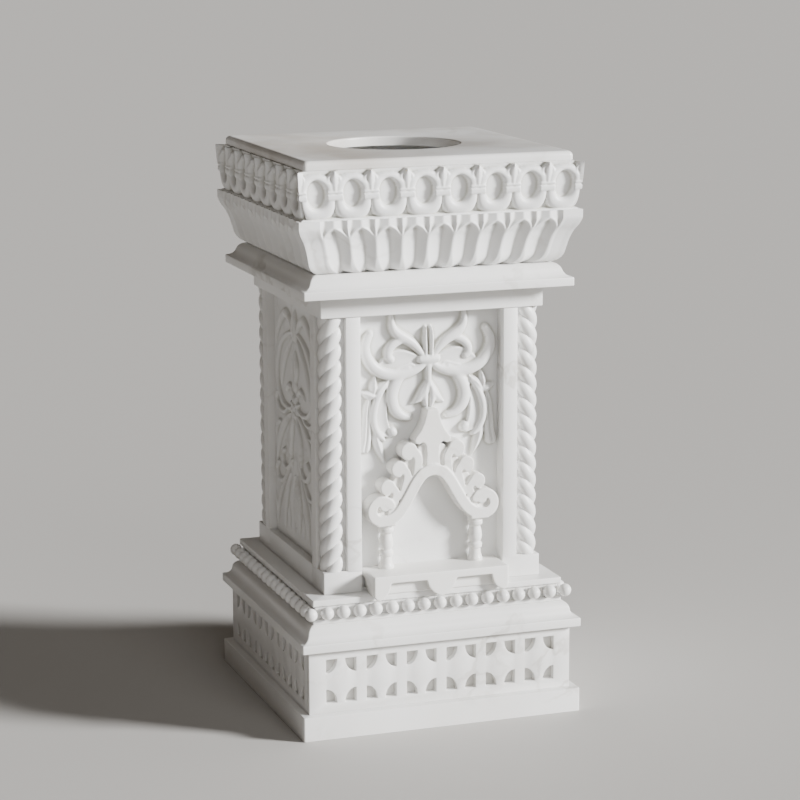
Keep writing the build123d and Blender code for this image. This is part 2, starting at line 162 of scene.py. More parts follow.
def makeMarble(name, stone, cloud, veins, clouds, rough=0.42, marks=0.4, bump=0.25, soft=0.12, turn=(0, 0, 0)):
    material, tree, place = newMaterial(name)
    place = addMapping(tree, place, location=turn, rotation=turn)
    # painted shade in the hollows of the carving, read from the crevice attribute
    crevice = addNode(tree, "ShaderNodeAttribute", attribute_name="crevice").outputs["Fac"]
    veined = addNode(tree, "ShaderNodeGroup", {
        "Vector": place, "Crevice": crevice, "Vein Scale": marbleLook["veinScale"],
        "Vein Width": marbleLook["veinWidth"], "Cloud Scale": marbleLook["cloudScale"], "Vein Amount": veins,
        "Cloud Amount": clouds, "Stone": (*stone, 1), "Cloud": (*cloud, 1)}, node_tree=veinGroup)
    grain = addNode(tree, "ShaderNodeGroup", {
        "Vector": place, "Grain Size": marbleLook["grainSize"], "Tool Marks": marks, "Smoothness": rough},
        node_tree=grainGroup)
    bumpNode = addNode(tree, "ShaderNodeBump", {
        "Height": grain.outputs["Height"], "Strength": bump, "Distance": marbleLook["bumpDistance"]})
    shader = addNode(tree, "ShaderNodeBsdfPrincipled", {
        "Base Color": veined.outputs["Color"], "Roughness": grain.outputs["Roughness"],
        "Normal": bumpNode.outputs[0], "IOR": 1.5, "Subsurface Weight": soft,
        "Subsurface Radius": (1.0, 0.9, 0.75), "Subsurface Scale": 0.002})
    addNode(tree, "ShaderNodeOutputMaterial", {"Surface": shader.outputs[0]})
    return material


whiteMarble = makeMarble("whiteMarble", (0.83, 0.825, 0.81), (0.69, 0.68, 0.65), veins=0.6, clouds=0.5)
carvedMarble = makeMarble("carvedMarble", (0.84, 0.84, 0.83), (0.74, 0.74, 0.72), veins=0.35, clouds=0.4,
                          turn=(0.3, 0.1, 0.7))
slabMarble = makeMarble("slabMarble", (0.82, 0.815, 0.8), (0.55, 0.51, 0.46), veins=0.4, clouds=1.4,
                        rough=0.36, marks=0.2, turn=(0.9, 0.4, 0.2))
shrineMarble = makeMarble("shrineMarble", (0.85, 0.84, 0.81), (0.76, 0.735, 0.69), veins=0.2, clouds=0.45,
                          turn=(0.2, 0.8, 0.5))
sawnMarble = makeMarble("sawnMarble", (0.74, 0.73, 0.7), (0.62, 0.61, 0.58), veins=0.25, clouds=0.5, rough=0.62,
                        marks=0.9, bump=0.5, soft=0.0)


def makePinSteel():
    material, tree, place = newMaterial("pinSteel")
    lines = addNoise(tree, addMapping(tree, place, scale=(1.0, 1.0, 0.05)), 2500.0, 2.0)["Fac"]
    shader = addNode(tree, "ShaderNodeBsdfPrincipled", {
        "Base Color": addMix(tree, lines, (0.56, 0.56, 0.57, 1), (0.68, 0.68, 0.69, 1)),
        "Roughness": addRange(tree, lines, 0.0, 1.0, 0.3, 0.5), "Metallic": 1.0})
    addNode(tree, "ShaderNodeOutputMaterial", {"Surface": shader.outputs[0]})
    return material


pinSteel = makePinSteel()
print("marble ready")


def meshFrom(name, points, faces, **columns):
    # each column is an attribute with a number for every point
    mesh = bpy.data.meshes.new(name)
    faces = faces if isinstance(faces, list) else faces.tolist()
    mesh.from_pydata((np.asarray(points, np.float64) * mm).tolist(), [], faces)
    for label, column in columns.items():
        mesh.attributes.new(label, "FLOAT", "POINT").data.foreach_set("value", np.asarray(column, np.float32).ravel())
    mesh.update()
    return mesh


def newObject(name, mesh):
    thing = bpy.data.objects.new(name, mesh)
    bpy.context.scene.collection.objects.link(thing)
    return thing


def takeMesh(thing):
    # the mesh with all its modifiers applied; the modifiers and the object go away
    depsgraph = bpy.context.evaluated_depsgraph_get()
    depsgraph.update()
    mesh = bpy.data.meshes.new_from_object(thing.evaluated_get(depsgraph), preserve_all_data_layers=True,
                                           depsgraph=depsgraph)
    thing.modifiers.clear()
    bpy.data.objects.remove(thing)
    return mesh


def joined(name, *meshes):
    shape = bmesh.new()
    for mesh in meshes:
        shape.from_mesh(mesh)
    result = bpy.data.meshes.new(name)
    shape.to_mesh(result)
    shape.free()
    return result


def turned(mesh, quarters, mirrored=False):
    # a copy turned about Z by quarter turns, mirrored left to right first if asked
    copy = mesh.copy()
    if mirrored:
        copy.transform(Matrix.Scale(-1, 4, (1, 0, 0)))
        copy.flip_normals()
    copy.transform(Matrix.Rotation(quarters * pi / 2, 4, "Z"))
    return copy


def finishPiece(name, node, mesh, material, crease=32):
    # crease: the angle in degrees past which an edge stays sharp
    mesh.materials.clear()
    mesh.materials.append(material)
    mesh.polygons.foreach_set("use_smooth", [True] * len(mesh.polygons))
    mesh.set_sharp_from_angle(angle=radians(crease))
    piece = newObject(name, mesh)
    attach(piece, "root")
    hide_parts(node)


def squareLoop(half, corner, perSide=3):
    # points of a square with rounded corners, anticlockwise from the front left
    flat = half - corner
    side = [(x, -half) for x in np.linspace(-flat, flat, perSide + 2)]
    side += [(flat + corner * sin(a), -flat - corner * cos(a)) for a in np.linspace(0, pi / 2, 5)[1:-1]]
    loop = []
    for c, s in ((1, 0), (0, 1), (-1, 0), (0, -1)):
        loop += [(x * c - y * s, x * s + y * c) for x, y in side]
    return np.array(loop)


def roundLoop(radius, perSide=3):
    # as many points as a square loop has, in the same directions
    square = squareLoop(100, 3, perSide)
    angles = np.arctan2(square[:, 1], square[:, 0])
    return np.stack([radius * np.cos(angles), radius * np.sin(angles)], 1)


def sweepRings(name, rings):
    # rings: (loop of xy points, z), from the foot up the outside and back down the bore
    count = len(rings[0][0])
    points = np.concatenate([np.column_stack([loop, np.full(count, z)]) for loop, z in rings])
    here = np.arange(count)
    after = (here + 1) % count
    faces = []
    for number in range(len(rings)):
        low, high = number * count, (number + 1) % len(rings) * count
        faces.append(np.column_stack([low + here, low + after, high + after, high + here]))
    return meshFrom(name, points, np.concatenate(faces))


def softenLine(points):
    # rounds the corners of an open line: the third number of a point is its corner's radius
    line = [points[0][:2]]
    for before, at, after in zip(points, points[1:], points[2:]):
        if len(at) < 3:
            line.append(at)
            continue
        a, p, b = (np.array(q[:2], float) for q in (before, at, after))
        la, lb = np.linalg.norm(a - p), np.linalg.norm(b - p)
        start, end = p + (a - p) / la * min(at[2], 0.45 * la), p + (b - p) / lb * min(at[2], 0.45 * lb)
        for t in np.linspace(0, 1, 4):
            line.append(tuple((1 - t) ** 2 * start + 2 * t * (1 - t) * p + t * t * end))
    line.append(points[-1][:2])
    return line


def cymaLine(lipHalf, lipZ, neckHalf, neckZ, steps=7):
    # hollow beside the lip, full beside the neck: two equal arcs
    a, b = (lipHalf - neckHalf) / 2, (neckZ - lipZ) / 2
    radius, sweep = (a * a + b * b) / (2 * b), 2 * atan2(b, a)
    hollow = [(lipHalf - radius * sin(t), lipZ + radius * (1 - cos(t))) for t in np.linspace(0, sweep, steps)]
    full = [(lipHalf + neckHalf - x, lipZ + neckZ - z) for x, z in reversed(hollow)]
    return hollow + full[1:]


def mouldedCourse(name, line, bore, corner):
    # line: (half width, z) from the foot up; the bore is the radius of the drain
    rings = [(squareLoop(half, corner), z) for half, z in line]
    rings += [(roundLoop(bore), line[-1][1]), (roundLoop(bore), line[0][1])]
    return sweepRings(name, rings)


def prism(outline, front, back):
    # closed block from an outline in x and z, between two depths in y
    count = len(outline)
    points = [(x, front, z) for x, z in outline] + [(x, back, z) for x, z in outline]
    area = sum(a[0] * b[1] - b[0] * a[1] for a, b in zip(outline, outline[1:] + outline[:1]))
    order = list(range(count)) if area > 0 else list(range(count))[::-1]
    faces = [order, [count + i for i in reversed(order)]]
    for a, b in zip(order, order[1:] + order[:1]):
        faces.append([b, a, count + a, count + b])
    return points, faces


def gathered(parts):
    # several blocks of points and faces as one
    points, faces = [], []
    for more, rest in parts:
        faces += [[index + len(points) for index in face] for face in rest]
        points += more
    return points, faces


def discRow(path, front, back, sides=20):
    # a thick stroke: short drums side by side along a path of x, z, radius
    drums = ([(x + radius * cos(t * tau / sides), z + radius * sin(t * tau / sides)) for t in range(sides)]
             for x, z, radius in path)
    return gathered(prism(drum, front, back) for drum in drums)


def smoothPath(points, spacing):
    # Catmull-Rom line through the rows; every column is carried along
    rows = np.asarray(points, float)
    rows = np.vstack([2 * rows[0] - rows[1], rows, 2 * rows[-1] - rows[-2]])
    line = []
    for p0, p1, p2, p3 in zip(rows, rows[1:], rows[2:], rows[3:]):
        steps = max(2, int(np.linalg.norm((p2 - p1)[:2]) / spacing))
        for t in np.arange(steps) / steps:
            line.append(0.5 * (2 * p1 + (p2 - p0) * t + (2 * p0 - 5 * p1 + 4 * p2 - p3) * t * t
                               + (3 * p1 - p0 - 3 * p2 + p3) * t ** 3))
    line.append(rows[-2])
    return np.array(line)


drain = {"outlet": 8.0, "bore": 10.0}
plinth = {"footEdge": 0.8, "topEdge": 1.2, "corner": 1.6}
abacus = {"footEdge": 1.0, "topEdge": 0.6, "corner": 1.2}
baseCornice = {"lip": 9.2, "neck": 137.5, "footEdge": 1.0, "softLip": 1.4, "corner": 1.4}
topCornice = {"lip": 9.0, "neck": 128.5, "footEdge": 1.0, "softLip": 1.4, "corner": 1.4}


def bandLine(look, half, foot, top):
    return softenLine([(0, foot), (half, foot, look["footEdge"]), (half, top, look["topEdge"]), (0, top)])[1:-1]


def corniceLine(look, half, foot, top):
    lip = foot + look["lip"]
    profile = [(0, foot), (half, foot, look["footEdge"]), (half, lip, look["softLip"])]
    return softenLine(profile + cymaLine(half, lip, look["neck"], top)[1:])[1:]


for name, node, makeLine, look, bore in (
        ("basePlinth", "base_plinth", bandLine, plinth, drain["outlet"]),
        ("baseCornice", "base_cornice", corniceLine, baseCornice, drain["bore"]),
        ("abacusBand", "abacus", bandLine, abacus, drain["bore"]),
        ("topCornice", "top_cornice", corniceLine, topCornice, drain["bore"])):
    line = makeLine(look, halfOf(node), *levelsOf(node))
    finishPiece(name, node, mouldedCourse(name, line, bore, look["corner"]), whiteMarble)

slab = {"round": 5.0, "corner": 4.0, "opening": 71.0, "rim": 1.8, "underEdge": (0.8, 1.0), "margin": 7, "dish": 0.02,
        "perSide": 9}

foot, top = levelsOf("top_slab")
half = halfOf("top_slab")
nosing = [(half - slab["underEdge"][0], foot), (half, foot + slab["underEdge"][1])]
nosing += [(half - slab["round"] * (1 - sin(t)), top - slab["round"] * (1 - cos(t)))
           for t in np.linspace(pi / 2, 0, 7)]
nosing += [(half - slab["margin"], top - slab["dish"])]
rim = [(slab["opening"] + slab["rim"] * (1 - sin(t)), top - slab["rim"] * (1 - cos(t)))
       for t in np.linspace(0, pi / 2, 5)]
rim += [(slab["opening"], foot)]
rings = [(squareLoop(x, slab["corner"], slab["perSide"]), z) for x, z in nosing]
rings += [(roundLoop(x, slab["perSide"]), z) for x, z in rim]
finishPiece("topSlab", "top_slab", sweepRings("topSlab", rings), slabMarble)
print("plain courses ready")


def geometryTree(name, *inputs):
    return startTree(name, "GeometryNodeTree", inputs, (("Geometry", "Geometry"),))


def addPart(tree, kind, inputs=None, **settings):
    return addNode(tree, "GeometryNode" + kind, inputs, **settings).outputs[0]


def closeTree(tree, geometry, material):
    real = addPart(tree, "RealizeInstances", {"Geometry": geometry})
    coated = addPart(tree, "SetMaterial", {"Geometry": real, "Material": material})
    addNode(tree, "NodeGroupOutput", {"Geometry": coated})
    return tree


def addXyz(tree, x=0.0, y=0.0, z=0.0):
    return addNode(tree, "ShaderNodeCombineXYZ", {"X": x, "Y": y, "Z": z}).outputs[0]


def addJoin(tree, *parts):
    joint = addNode(tree, "GeometryNodeJoinGeometry")
    for part in parts:
        tree.links.new(part, joint.inputs[0])
    return joint.outputs[0]


def addSpots(tree, count, start=(0, 0, 0), offset=(0, 0, 0)):
    return addPart(tree, "MeshLine", {"Count": count, "Start Location": start, "Offset": offset},
                   mode="OFFSET", count_mode="TOTAL")


def addRow(tree, item, count, pitch):
    # copies side by side along X, centred
    gaps = addMath(tree, "SUBTRACT", count, 1.0)
    first = addMath(tree, "MULTIPLY", addMath(tree, "MULTIPLY", gaps, pitch), -0.5)
    spots = addSpots(tree, count, addXyz(tree, first), addXyz(tree, pitch))
    row = addPart(tree, "InstanceOnPoints", {"Points": spots, "Instance": item})
    return addPart(tree, "RealizeInstances", {"Geometry": row})


def addTurns(tree, item, count):
    # copies turned evenly about Z
    turn = addMath(tree, "DIVIDE", addMath(tree, "MULTIPLY", addPart(tree, "InputIndex"), tau), count)
    return addPart(tree, "InstanceOnPoints", {
        "Points": addSpots(tree, count), "Instance": item, "Rotation": addXyz(tree, z=turn)})


def grow(name, tree, values, start=None):
    # runs a tree on a start mesh and gives back the plain mesh
    thing = newObject(name, start or bpy.data.meshes.new(name))
    modifier = thing.modifiers.new(name, "NODES")
    modifier.node_group = tree
    for item in tree.interface.items_tree:
        if item.item_type == "SOCKET" and item.in_out == "INPUT" and item.name in values:
            modifier[item.identifier] = values[item.name]
    return takeMesh(thing)


def ropeTree():
    tree, given = geometryTree(
        "ropeColumn", ("Height", "Float", 0.27), ("Turns", "Float", 5.2), ("Strands", "Int", 3),
        ("Path Radius", "Float", 0.0057), ("Strand Radius", "Float", 0.0076), ("Resolution", "Int", 24),
        ("Marble", "Material"))
    path = addPart(tree, "CurveSpiral", {
        "Resolution": given["Resolution"], "Rotations": given["Turns"], "Start Radius": given["Path Radius"],
        "End Radius": given["Path Radius"], "Height": given["Height"], "Reverse": True})
    section = addPart(tree, "CurvePrimitiveCircle", {"Resolution": 16, "Radius": given["Strand Radius"]}, mode="RADIUS")
    strand = addPart(tree, "CurveToMesh", {"Curve": path, "Profile Curve": section, "Fill Caps": True})
    return closeTree(tree, addTurns(tree, strand, given["Strands"]), given["Marble"])


def beadTree():
    tree, given = geometryTree(
        "beadRow", ("Side", "Float", 0.2844), ("Beads", "Int", 64), ("Radius", "Float", 0.007),
        ("Level", "Float", 0.13), ("Seed", "Int", 3), ("Marble", "Material"))
    path = addPart(tree, "CurvePrimitiveQuadrilateral", {"Width": given["Side"], "Height": given["Side"]})
    spots = addPart(tree, "CurveToPoints", {"Curve": path, "Count": given["Beads"]}, mode="COUNT")
    lifted = addPart(tree, "SetPosition", {"Geometry": spots, "Offset": addXyz(tree, z=given["Level"])})
    ball = addPart(tree, "MeshUVSphere", {"Segments": 18, "Rings": 11, "Radius": given["Radius"]})
    size = addNode(tree, "FunctionNodeRandomValue", {"Min": 0.96, "Max": 1.0, "Seed": given["Seed"]},
                   data_type="FLOAT").outputs[1]
    beads = addPart(tree, "InstanceOnPoints", {"Points": lifted, "Instance": ball, "Scale": size})
    return closeTree(tree, beads, given["Marble"])


beadCourse = {"beads": 17, "radius": 7.0, "ring": 142.2, "foot": 5.0, "channel": 14.0, "seat": 136.0, "fillet": 139.0,
              "softEdge": 1.0, "crispEdge": 0.6, "corner": 1.2}

foot, top = levelsOf("bead_course")
low, high = foot + beadCourse["foot"], foot + beadCourse["foot"] + beadCourse["channel"]
fillet, seat, soft, crisp = (beadCourse[label] for label in ("fillet", "seat", "softEdge", "crispEdge"))
line = softenLine([(0, foot), (fillet, foot, crisp), (fillet, low, soft), (seat, low, crisp), (seat, high, crisp),
                   (fillet, high, soft), (fillet, top, soft), (0, top)])[1:-1]
course = mouldedCourse("beadCourse", line, drain["bore"], beadCourse["corner"])
beads = grow("beads", beadTree(), {
    "Side": 2 * beadCourse["ring"] * mm, "Beads": 4 * (beadCourse["beads"] - 1), "Radius": beadCourse["radius"] * mm,
    "Level": (low + high) / 2 * mm, "Marble": whiteMarble})
finishPiece("beadCourse", "bead_course", joined("beadCourse", course, beads), whiteMarble, crease=40)
print("bead course ready")


post = {"side": 42.0, "block": 23.4, "offset": 26.0, "strands": 3, "lead": 52.0, "pathRadius": 5.7, "strandRadius": 7.6,
        "edge": 1.0, "blockEdge": 1.2, "sunk": 2,
        "bed": [(16, 6), (27, 6), (27, 27), (6, 27), (6, 16)], "bedEdge": 0.3, "bedGap": 0.4}


def bevelled(shape, edges, offset):
    bmesh.ops.bevel(shape, geom=edges, offset=offset * mm, segments=2, profile=0.5, affect="EDGES")


def bevelledPrism(name, outline, low, high, edge):
    shape = bmesh.new()
    face = shape.faces.new([shape.verts.new((x * mm, y * mm, low * mm)) for x, y in outline])
    raised = bmesh.ops.extrude_face_region(shape, geom=[face])
    bmesh.ops.translate(shape, verts=[v for v in raised["geom"] if isinstance(v, bmesh.types.BMVert)],
                        vec=(0, 0, (high - low) * mm))
    bmesh.ops.recalc_face_normals(shape, faces=shape.faces)
    bevelled(shape, list(shape.edges), edge)
    mesh = bpy.data.meshes.new(name)
    shape.to_mesh(mesh)
    shape.free()
    return mesh


foot, top = levelsOf("corner_post_front_left")
shaftHalf = halfOf("corner_post_front_right")
side, offset = post["side"], post["offset"]
blockTop = foot + post["block"]
start = blockTop - post["sunk"]   # strips and rope start a little inside the block
block = bevelledPrism("postBlock", [(0, 0), (side, 0), (side, side), (0, side)], foot, blockTop, post["blockEdge"])
strips = bevelledPrism("postStrips", [(offset, 0), (side, 0), (side, side), (0, side), (0, offset), (offset, offset)],
                       start, top, post["edge"])
bed = bevelledPrism("ropeBed", post["bed"], start, top - post["bedGap"], post["bedEdge"])
ropeHeight = top - foot - post["block"] + 2 * post["sunk"]
rope = grow("rope", ropeTree(), {
    "Height": ropeHeight * mm, "Turns": ropeHeight / post["lead"], "Strands": post["strands"],
    "Path Radius": post["pathRadius"] * mm, "Strand Radius": post["strandRadius"] * mm, "Marble": whiteMarble})
reach = post["pathRadius"] + post["strandRadius"]
rope.transform(Matrix.Translation((reach * mm, reach * mm, start * mm)))
cornerPost = joined("cornerPost", block, strips, bed, rope)
cornerPost.transform(Matrix.Translation((-shaftHalf * mm, -shaftHalf * mm, 0)))
for name, node, quarters, mirrored in (("cornerPostFrontLeft", "corner_post_front_left", 0, False),
                                       ("cornerPostFrontRight", "corner_post_front_right", 0, True),
                                       ("cornerPostBackRight", "corner_post_back_right", 2, False),
                                       ("cornerPostBackLeft", "corner_post_back_left", 2, True)):
    finishPiece(name, node, turned(cornerPost, quarters, mirrored), whiteMarble, crease=40)
print("corner posts ready")


pierced = {"cells": 6, "pitch": 44.5, "bar": 11.5, "margin": 10.5, "holeWidth": 12.0, "holeHeight": 15.0, "edge": 0.7,
           "arcSteps": 8}


def cellOutlines(height):
    # points and edges of the four quarter-round holes of one cell, flat about its middle
    points, edges = [], []
    for sx in (-1, 1):
        for sz in (-1, 1):
            cornerX, cornerZ = sx * (pierced["pitch"] - pierced["bar"]) / 2, sz * (height / 2 - pierced["margin"])
            loop = [(cornerX, cornerZ)]
            for step in range(pierced["arcSteps"] + 1):
                angle = step / pierced["arcSteps"] * pi / 2
                loop.append((cornerX - sx * pierced["holeWidth"] * cos(angle),
                             cornerZ - sz * pierced["holeHeight"] * sin(angle)))
            first, count = len(points), len(loop)
            points += [(x * mm, z * mm, 0) for x, z in loop]
            edges += [(first + i, first + (i + 1) % count) for i in range(count)]
    return points, edges


def piercedTree():
    tree, given = geometryTree(
        "piercedPanel", ("Geometry", "Geometry"), ("Cells", "Int", 6), ("Pitch", "Float", 0.0445),
        ("Width", "Float", 0.29), ("Height", "Float", 0.0685), ("Thickness", "Float", 0.008), ("Marble", "Material"))
    cells = addRow(tree, given["Geometry"], given["Cells"], given["Pitch"])
    holes = addPart(tree, "MeshToCurve", {"Mesh": cells})
    border = addPart(tree, "CurvePrimitiveQuadrilateral", {"Width": given["Width"], "Height": given["Height"]})
    sheet = addPart(tree, "FillCurve", {"Curve": addJoin(tree, holes, border)}, mode="TRIANGLES")
    thick = addPart(tree, "ExtrudeMesh", {
        "Mesh": sheet, "Offset": (0, 0, 1), "Offset Scale": given["Thickness"], "Individual": False}, mode="FACES")
    both = addJoin(tree, thick, addPart(tree, "FlipFaces", {"Mesh": sheet}))
    welded = addPart(tree, "MergeByDistance", {"Geometry": both, "Distance": 0.00001})
    upright = addPart(tree, "Transform", {"Geometry": welded, "Rotation": (pi / 2, 0, 0)})
    return closeTree(tree, upright, given["Marble"])


def softenEdges(mesh, edge, angle=50):
    shape = bmesh.new()
    shape.from_mesh(mesh)
    bevelled(shape, [e for e in shape.edges if len(e.link_faces) == 2 and e.calc_face_angle(0) > radians(angle)], edge)
    shape.to_mesh(mesh)
    shape.free()


foot, top = levelsOf("jaali_panel_front")
cellPoints, cellEdges = cellOutlines(top - foot)
panelTree = piercedTree()
for quarters, side in enumerate(("Front", "Right", "Back", "Left")):
    node = "jaali_panel_" + side.lower()
    low, high = (np.array(corner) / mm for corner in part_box(node))
    wide, deep = (high - low)[[quarters % 2, 1 - quarters % 2]]
    cells = bpy.data.meshes.new("cells")
    cells.from_pydata(cellPoints, cellEdges, [])
    panel = grow("piercedPanel", panelTree, {
        "Cells": pierced["cells"], "Pitch": pierced["pitch"] * mm, "Width": wide * mm,
        "Height": (high[2] - low[2]) * mm, "Thickness": deep * mm, "Marble": whiteMarble}, cells)
    softenEdges(panel, pierced["edge"])
    panel.transform(Matrix.Translation((0, -(halfOf("jaali_panel_right") - deep) * mm, (low[2] + high[2]) / 2 * mm)))
    panel.transform(Matrix.Rotation(quarters * pi / 2, 4, "Z"))
    finishPiece("piercedPanel" + side, node, panel, whiteMarble, crease=40)
print("pierced panels ready")


def tiledTree():
    # a carved tile repeated along the four sides of a course, with an end tile beside every corner
    tree, given = geometryTree(
        "tiledCourse", ("Geometry", "Geometry"), ("Corner Tile", "Object"), ("Tiles", "Int", 8),
        ("Pitch", "Float", 0.03875), ("Top Half", "Float", 0.155), ("Mitre", "Float", 0.01), ("Marble", "Material"))
    row = addRow(tree, given["Geometry"], given["Tiles"], given["Pitch"])
    rightEnd = addNode(tree, "GeometryNodeObjectInfo", {"Object": given["Corner Tile"]}).outputs["Geometry"]
    leftEnd = addPart(tree, "Transform", {"Geometry": rightEnd, "Scale": (-1, 1, 1)})
    strip = addJoin(tree, row, rightEnd, addPart(tree, "FlipFaces", {"Mesh": leftEnd}))
    # a tile point is (place along, depth of carving, height); its half width rides along as an attribute
    spot = addNode(tree, "ShaderNodeSeparateXYZ", {"Vector": addPart(tree, "InputPosition")}).outputs
    sideHalf = addPart(tree, "InputNamedAttribute", {"Name": "sideHalf"}, data_type="FLOAT")
    along = addMath(tree, "DIVIDE", addMath(tree, "MULTIPLY", spot[0], sideHalf), given["Top Half"])
    # near a corner the carving is pulled in along the side too, so that two sides meet in a mitre
    mitreStart = addMath(tree, "SUBTRACT", given["Top Half"], given["Mitre"])
    reach = addMath(tree, "SUBTRACT", addMath(tree, "ABSOLUTE", spot[0]), mitreStart)
    share = addRange(tree, reach, 0.0, given["Mitre"], curve="SMOOTHSTEP")
    pull = addMath(tree, "MULTIPLY", addMath(tree, "MULTIPLY", share, spot[1]), addMath(tree, "SIGN", spot[0]))
    placed = addXyz(tree, addMath(tree, "SUBTRACT", along, pull), addMath(tree, "SUBTRACT", spot[1], sideHalf), spot[2])
    side = addPart(tree, "SetPosition", {"Geometry": strip, "Position": placed})
    whole = addPart(tree, "RealizeInstances", {"Geometry": addTurns(tree, side, 4)})
    welded = addPart(tree, "MergeByDistance", {"Geometry": whole, "Distance": 0.00002})
    return closeTree(tree, welded, given["Marble"])


def blurred(depth, times=1):
    for _ in range(times):
        padded = np.pad(depth, 1, mode="edge")
        depth = (padded[:-2, 1:-1] + padded[2:, 1:-1] + padded[1:-1, :-2] + padded[1:-1, 2:] + 4 * depth) / 8
    return depth


def creviceOf(depth, times=16, fullDepth=1.7):
    # how far a cell lies below its neighbourhood, 0 to 1, used as the amount of painted shade in hollows
    return np.clip((depth - blurred(depth, times)) / fullDepth, 0, 1)


def ramp(value, low, high):
    t = np.clip((value - low) / (high - low), 0, 1)
    return t * t * (3 - 2 * t)


def carvedTile(name, us, vs, depth, halves, wellHalf, footZ):
    # outer face as a grid, then back down the well wall, as one closed band of rows
    # painted shade: the hollows of the tile are marked for a darker colour
    paintedShade = np.pad(creviceOf(depth), ((0, 2), (0, 0)))
    depth = np.pad(depth, ((0, 2), (0, 0)))
    halves = np.concatenate([halves, [wellHalf, wellHalf]])
    heights = np.concatenate([vs, [vs[-1], vs[0]]]) + footZ
    rows, cols = depth.shape
    points = np.stack([np.broadcast_to(us, depth.shape), depth, np.broadcast_to(heights[:, None], depth.shape)], 2)
    low = np.arange(rows * cols).reshape(rows, cols)
    high = np.roll(low, -1, axis=0)
    faces = np.stack([low[:, :-1], low[:, 1:], high[:, 1:], high[:, :-1]], 2).reshape(-1, 4)
    return meshFrom(name, points.reshape(-1, 3), faces, sideHalf=np.repeat(halves, cols) * mm, crevice=paintedShade)


frieze = {"tiles": 8, "pitch": 38.75, "mitre": 9.0, "well": 112.0, "ground": 7.5, "footHalf": 151.3, "cell": 0.85,
          "opening": (9.6, 13.9), "openingZ": 26.6, "outer": (20.8, 23.6), "outerZ": 23.4, "outerPower": 3,
          "ringSunk": 0.8, "bandPower": 2.4, "bandThins": 0.35, "tieHalf": 9.3, "tie": (20.3, 29.8), "tieGroove": 1.6,
          "crownHalf": 10.2, "crownAt": ([29, 36, 40, 44, 47, 50.6], [0.86, 0.9, 1.0, 0.72, 0.42, 0.01]),
          "crownSlope": 3.2, "spearHalf": 4.6, "spearAt": ([29, 34, 43, 50.6], [0.55, 0.8, 1.0, 0.01]),
          "spearCrease": 1.3, "footSunk": 1.2}


def friezeDepth(u, v):
    ground = frieze["ground"]
    u = np.abs(u)
    # ring: a round band between an oval opening and a squarer outer edge, along rays from the opening's middle
    (holeU, holeV), (outU, outV) = frieze["opening"], frieze["outer"]
    away = np.hypot(u, v - frieze["openingZ"]) + 1e-6
    rayU, rayV = u / away, (v - frieze["openingZ"]) / away
    inner = 1 / np.sqrt((rayU / holeU) ** 2 + (rayV / holeV) ** 2)
    outer = inner.copy()
    power = frieze["outerPower"]
    for reach in np.linspace(6, 36, 121):
        spotV = frieze["openingZ"] + rayV * reach - frieze["outerZ"]
        inside = np.abs(rayU * reach / outU) ** power + np.abs(spotV / outV) ** power < 1
        outer = np.where(inside, np.maximum(outer, reach), outer)
    share = np.clip((away - inner) / np.maximum(outer - inner, 0.5), 0, 1)
    low = 1 - frieze["bandThins"] * ramp(v, 36, 44)   # the band thins out over the opening
    band = np.sqrt(np.clip(1 - np.abs(2 * share - 1) ** frieze["bandPower"], 0, 1))
    height = (ground - frieze["ringSunk"]) * low * band
    # tie between two rings: a narrow lip over a broad band
    side = frieze["pitch"] / 2 - u
    foot, head = frieze["tie"]
    tie = 1 - ramp(side, frieze["tieHalf"] - 0.8, frieze["tieHalf"] + 0.4)
    tie = tie * ramp(v, foot - 0.6, foot + 0.6) * (1 - ramp(v, head - 0.6, head + 0.6))
    groove = frieze["tieGroove"] * np.exp(-((v - head + 3.0) / 0.75) ** 2)
    height = np.maximum(height, tie * (ground - groove))
    # crown over the tie: a spear with two facets that meet in a ridge, between two leaves
    crownHalf = frieze["crownHalf"] * np.interp(v, *frieze["crownAt"])
    across = np.clip(side / np.maximum(crownHalf, 0.1), 0, 1.2)
    crown = (ground - frieze["crownSlope"] * across) * (1 - ramp(across, 0.94, 1.1)) * ramp(v, head - 1, head + 0.6)
    spearHalf = frieze["spearHalf"] * np.interp(v, *frieze["spearAt"])
    crease = frieze["spearCrease"] * np.exp(-((side - spearHalf) / 0.8) ** 2) * (1 - ramp(v, 44, 47))
    height = np.maximum(height, crown - crease * (across < 1))
    # plain edge along the foot
    height = np.maximum(height, (1 - ramp(v, 1.0, 2.2)) * (ground - frieze["footSunk"]))
    return ground - np.clip(height, 0, ground)


foot, top = levelsOf("frieze_course")
topHalf = halfOf("frieze_course")
pitch = 2 * topHalf / frieze["tiles"]
us = np.linspace(-pitch / 2, pitch / 2, int(pitch / frieze["cell"]) + 1)
vs = np.linspace(0, top - foot, int((top - foot) / frieze["cell"]) + 1)
depth = blurred(friezeDepth(*np.meshgrid(us * frieze["pitch"] / pitch, vs)))
halves = frieze["footHalf"] + (topHalf - frieze["footHalf"]) * vs / vs[-1]
tile = carvedTile("friezeTile", us, vs, depth, halves, frieze["well"], foot)
courseTree = tiledTree()
emptyTile = newObject("emptyTile", bpy.data.meshes.new("emptyTile"))
course = grow("friezeCourse", courseTree, {
    "Tiles": frieze["tiles"], "Pitch": pitch * mm, "Top Half": topHalf * mm, "Mitre": frieze["mitre"] * mm,
    "Corner Tile": emptyTile, "Marble": carvedMarble}, tile)
finishPiece("friezeCourse", "frieze_course", course, carvedMarble, crease=60)
print("frieze ready")


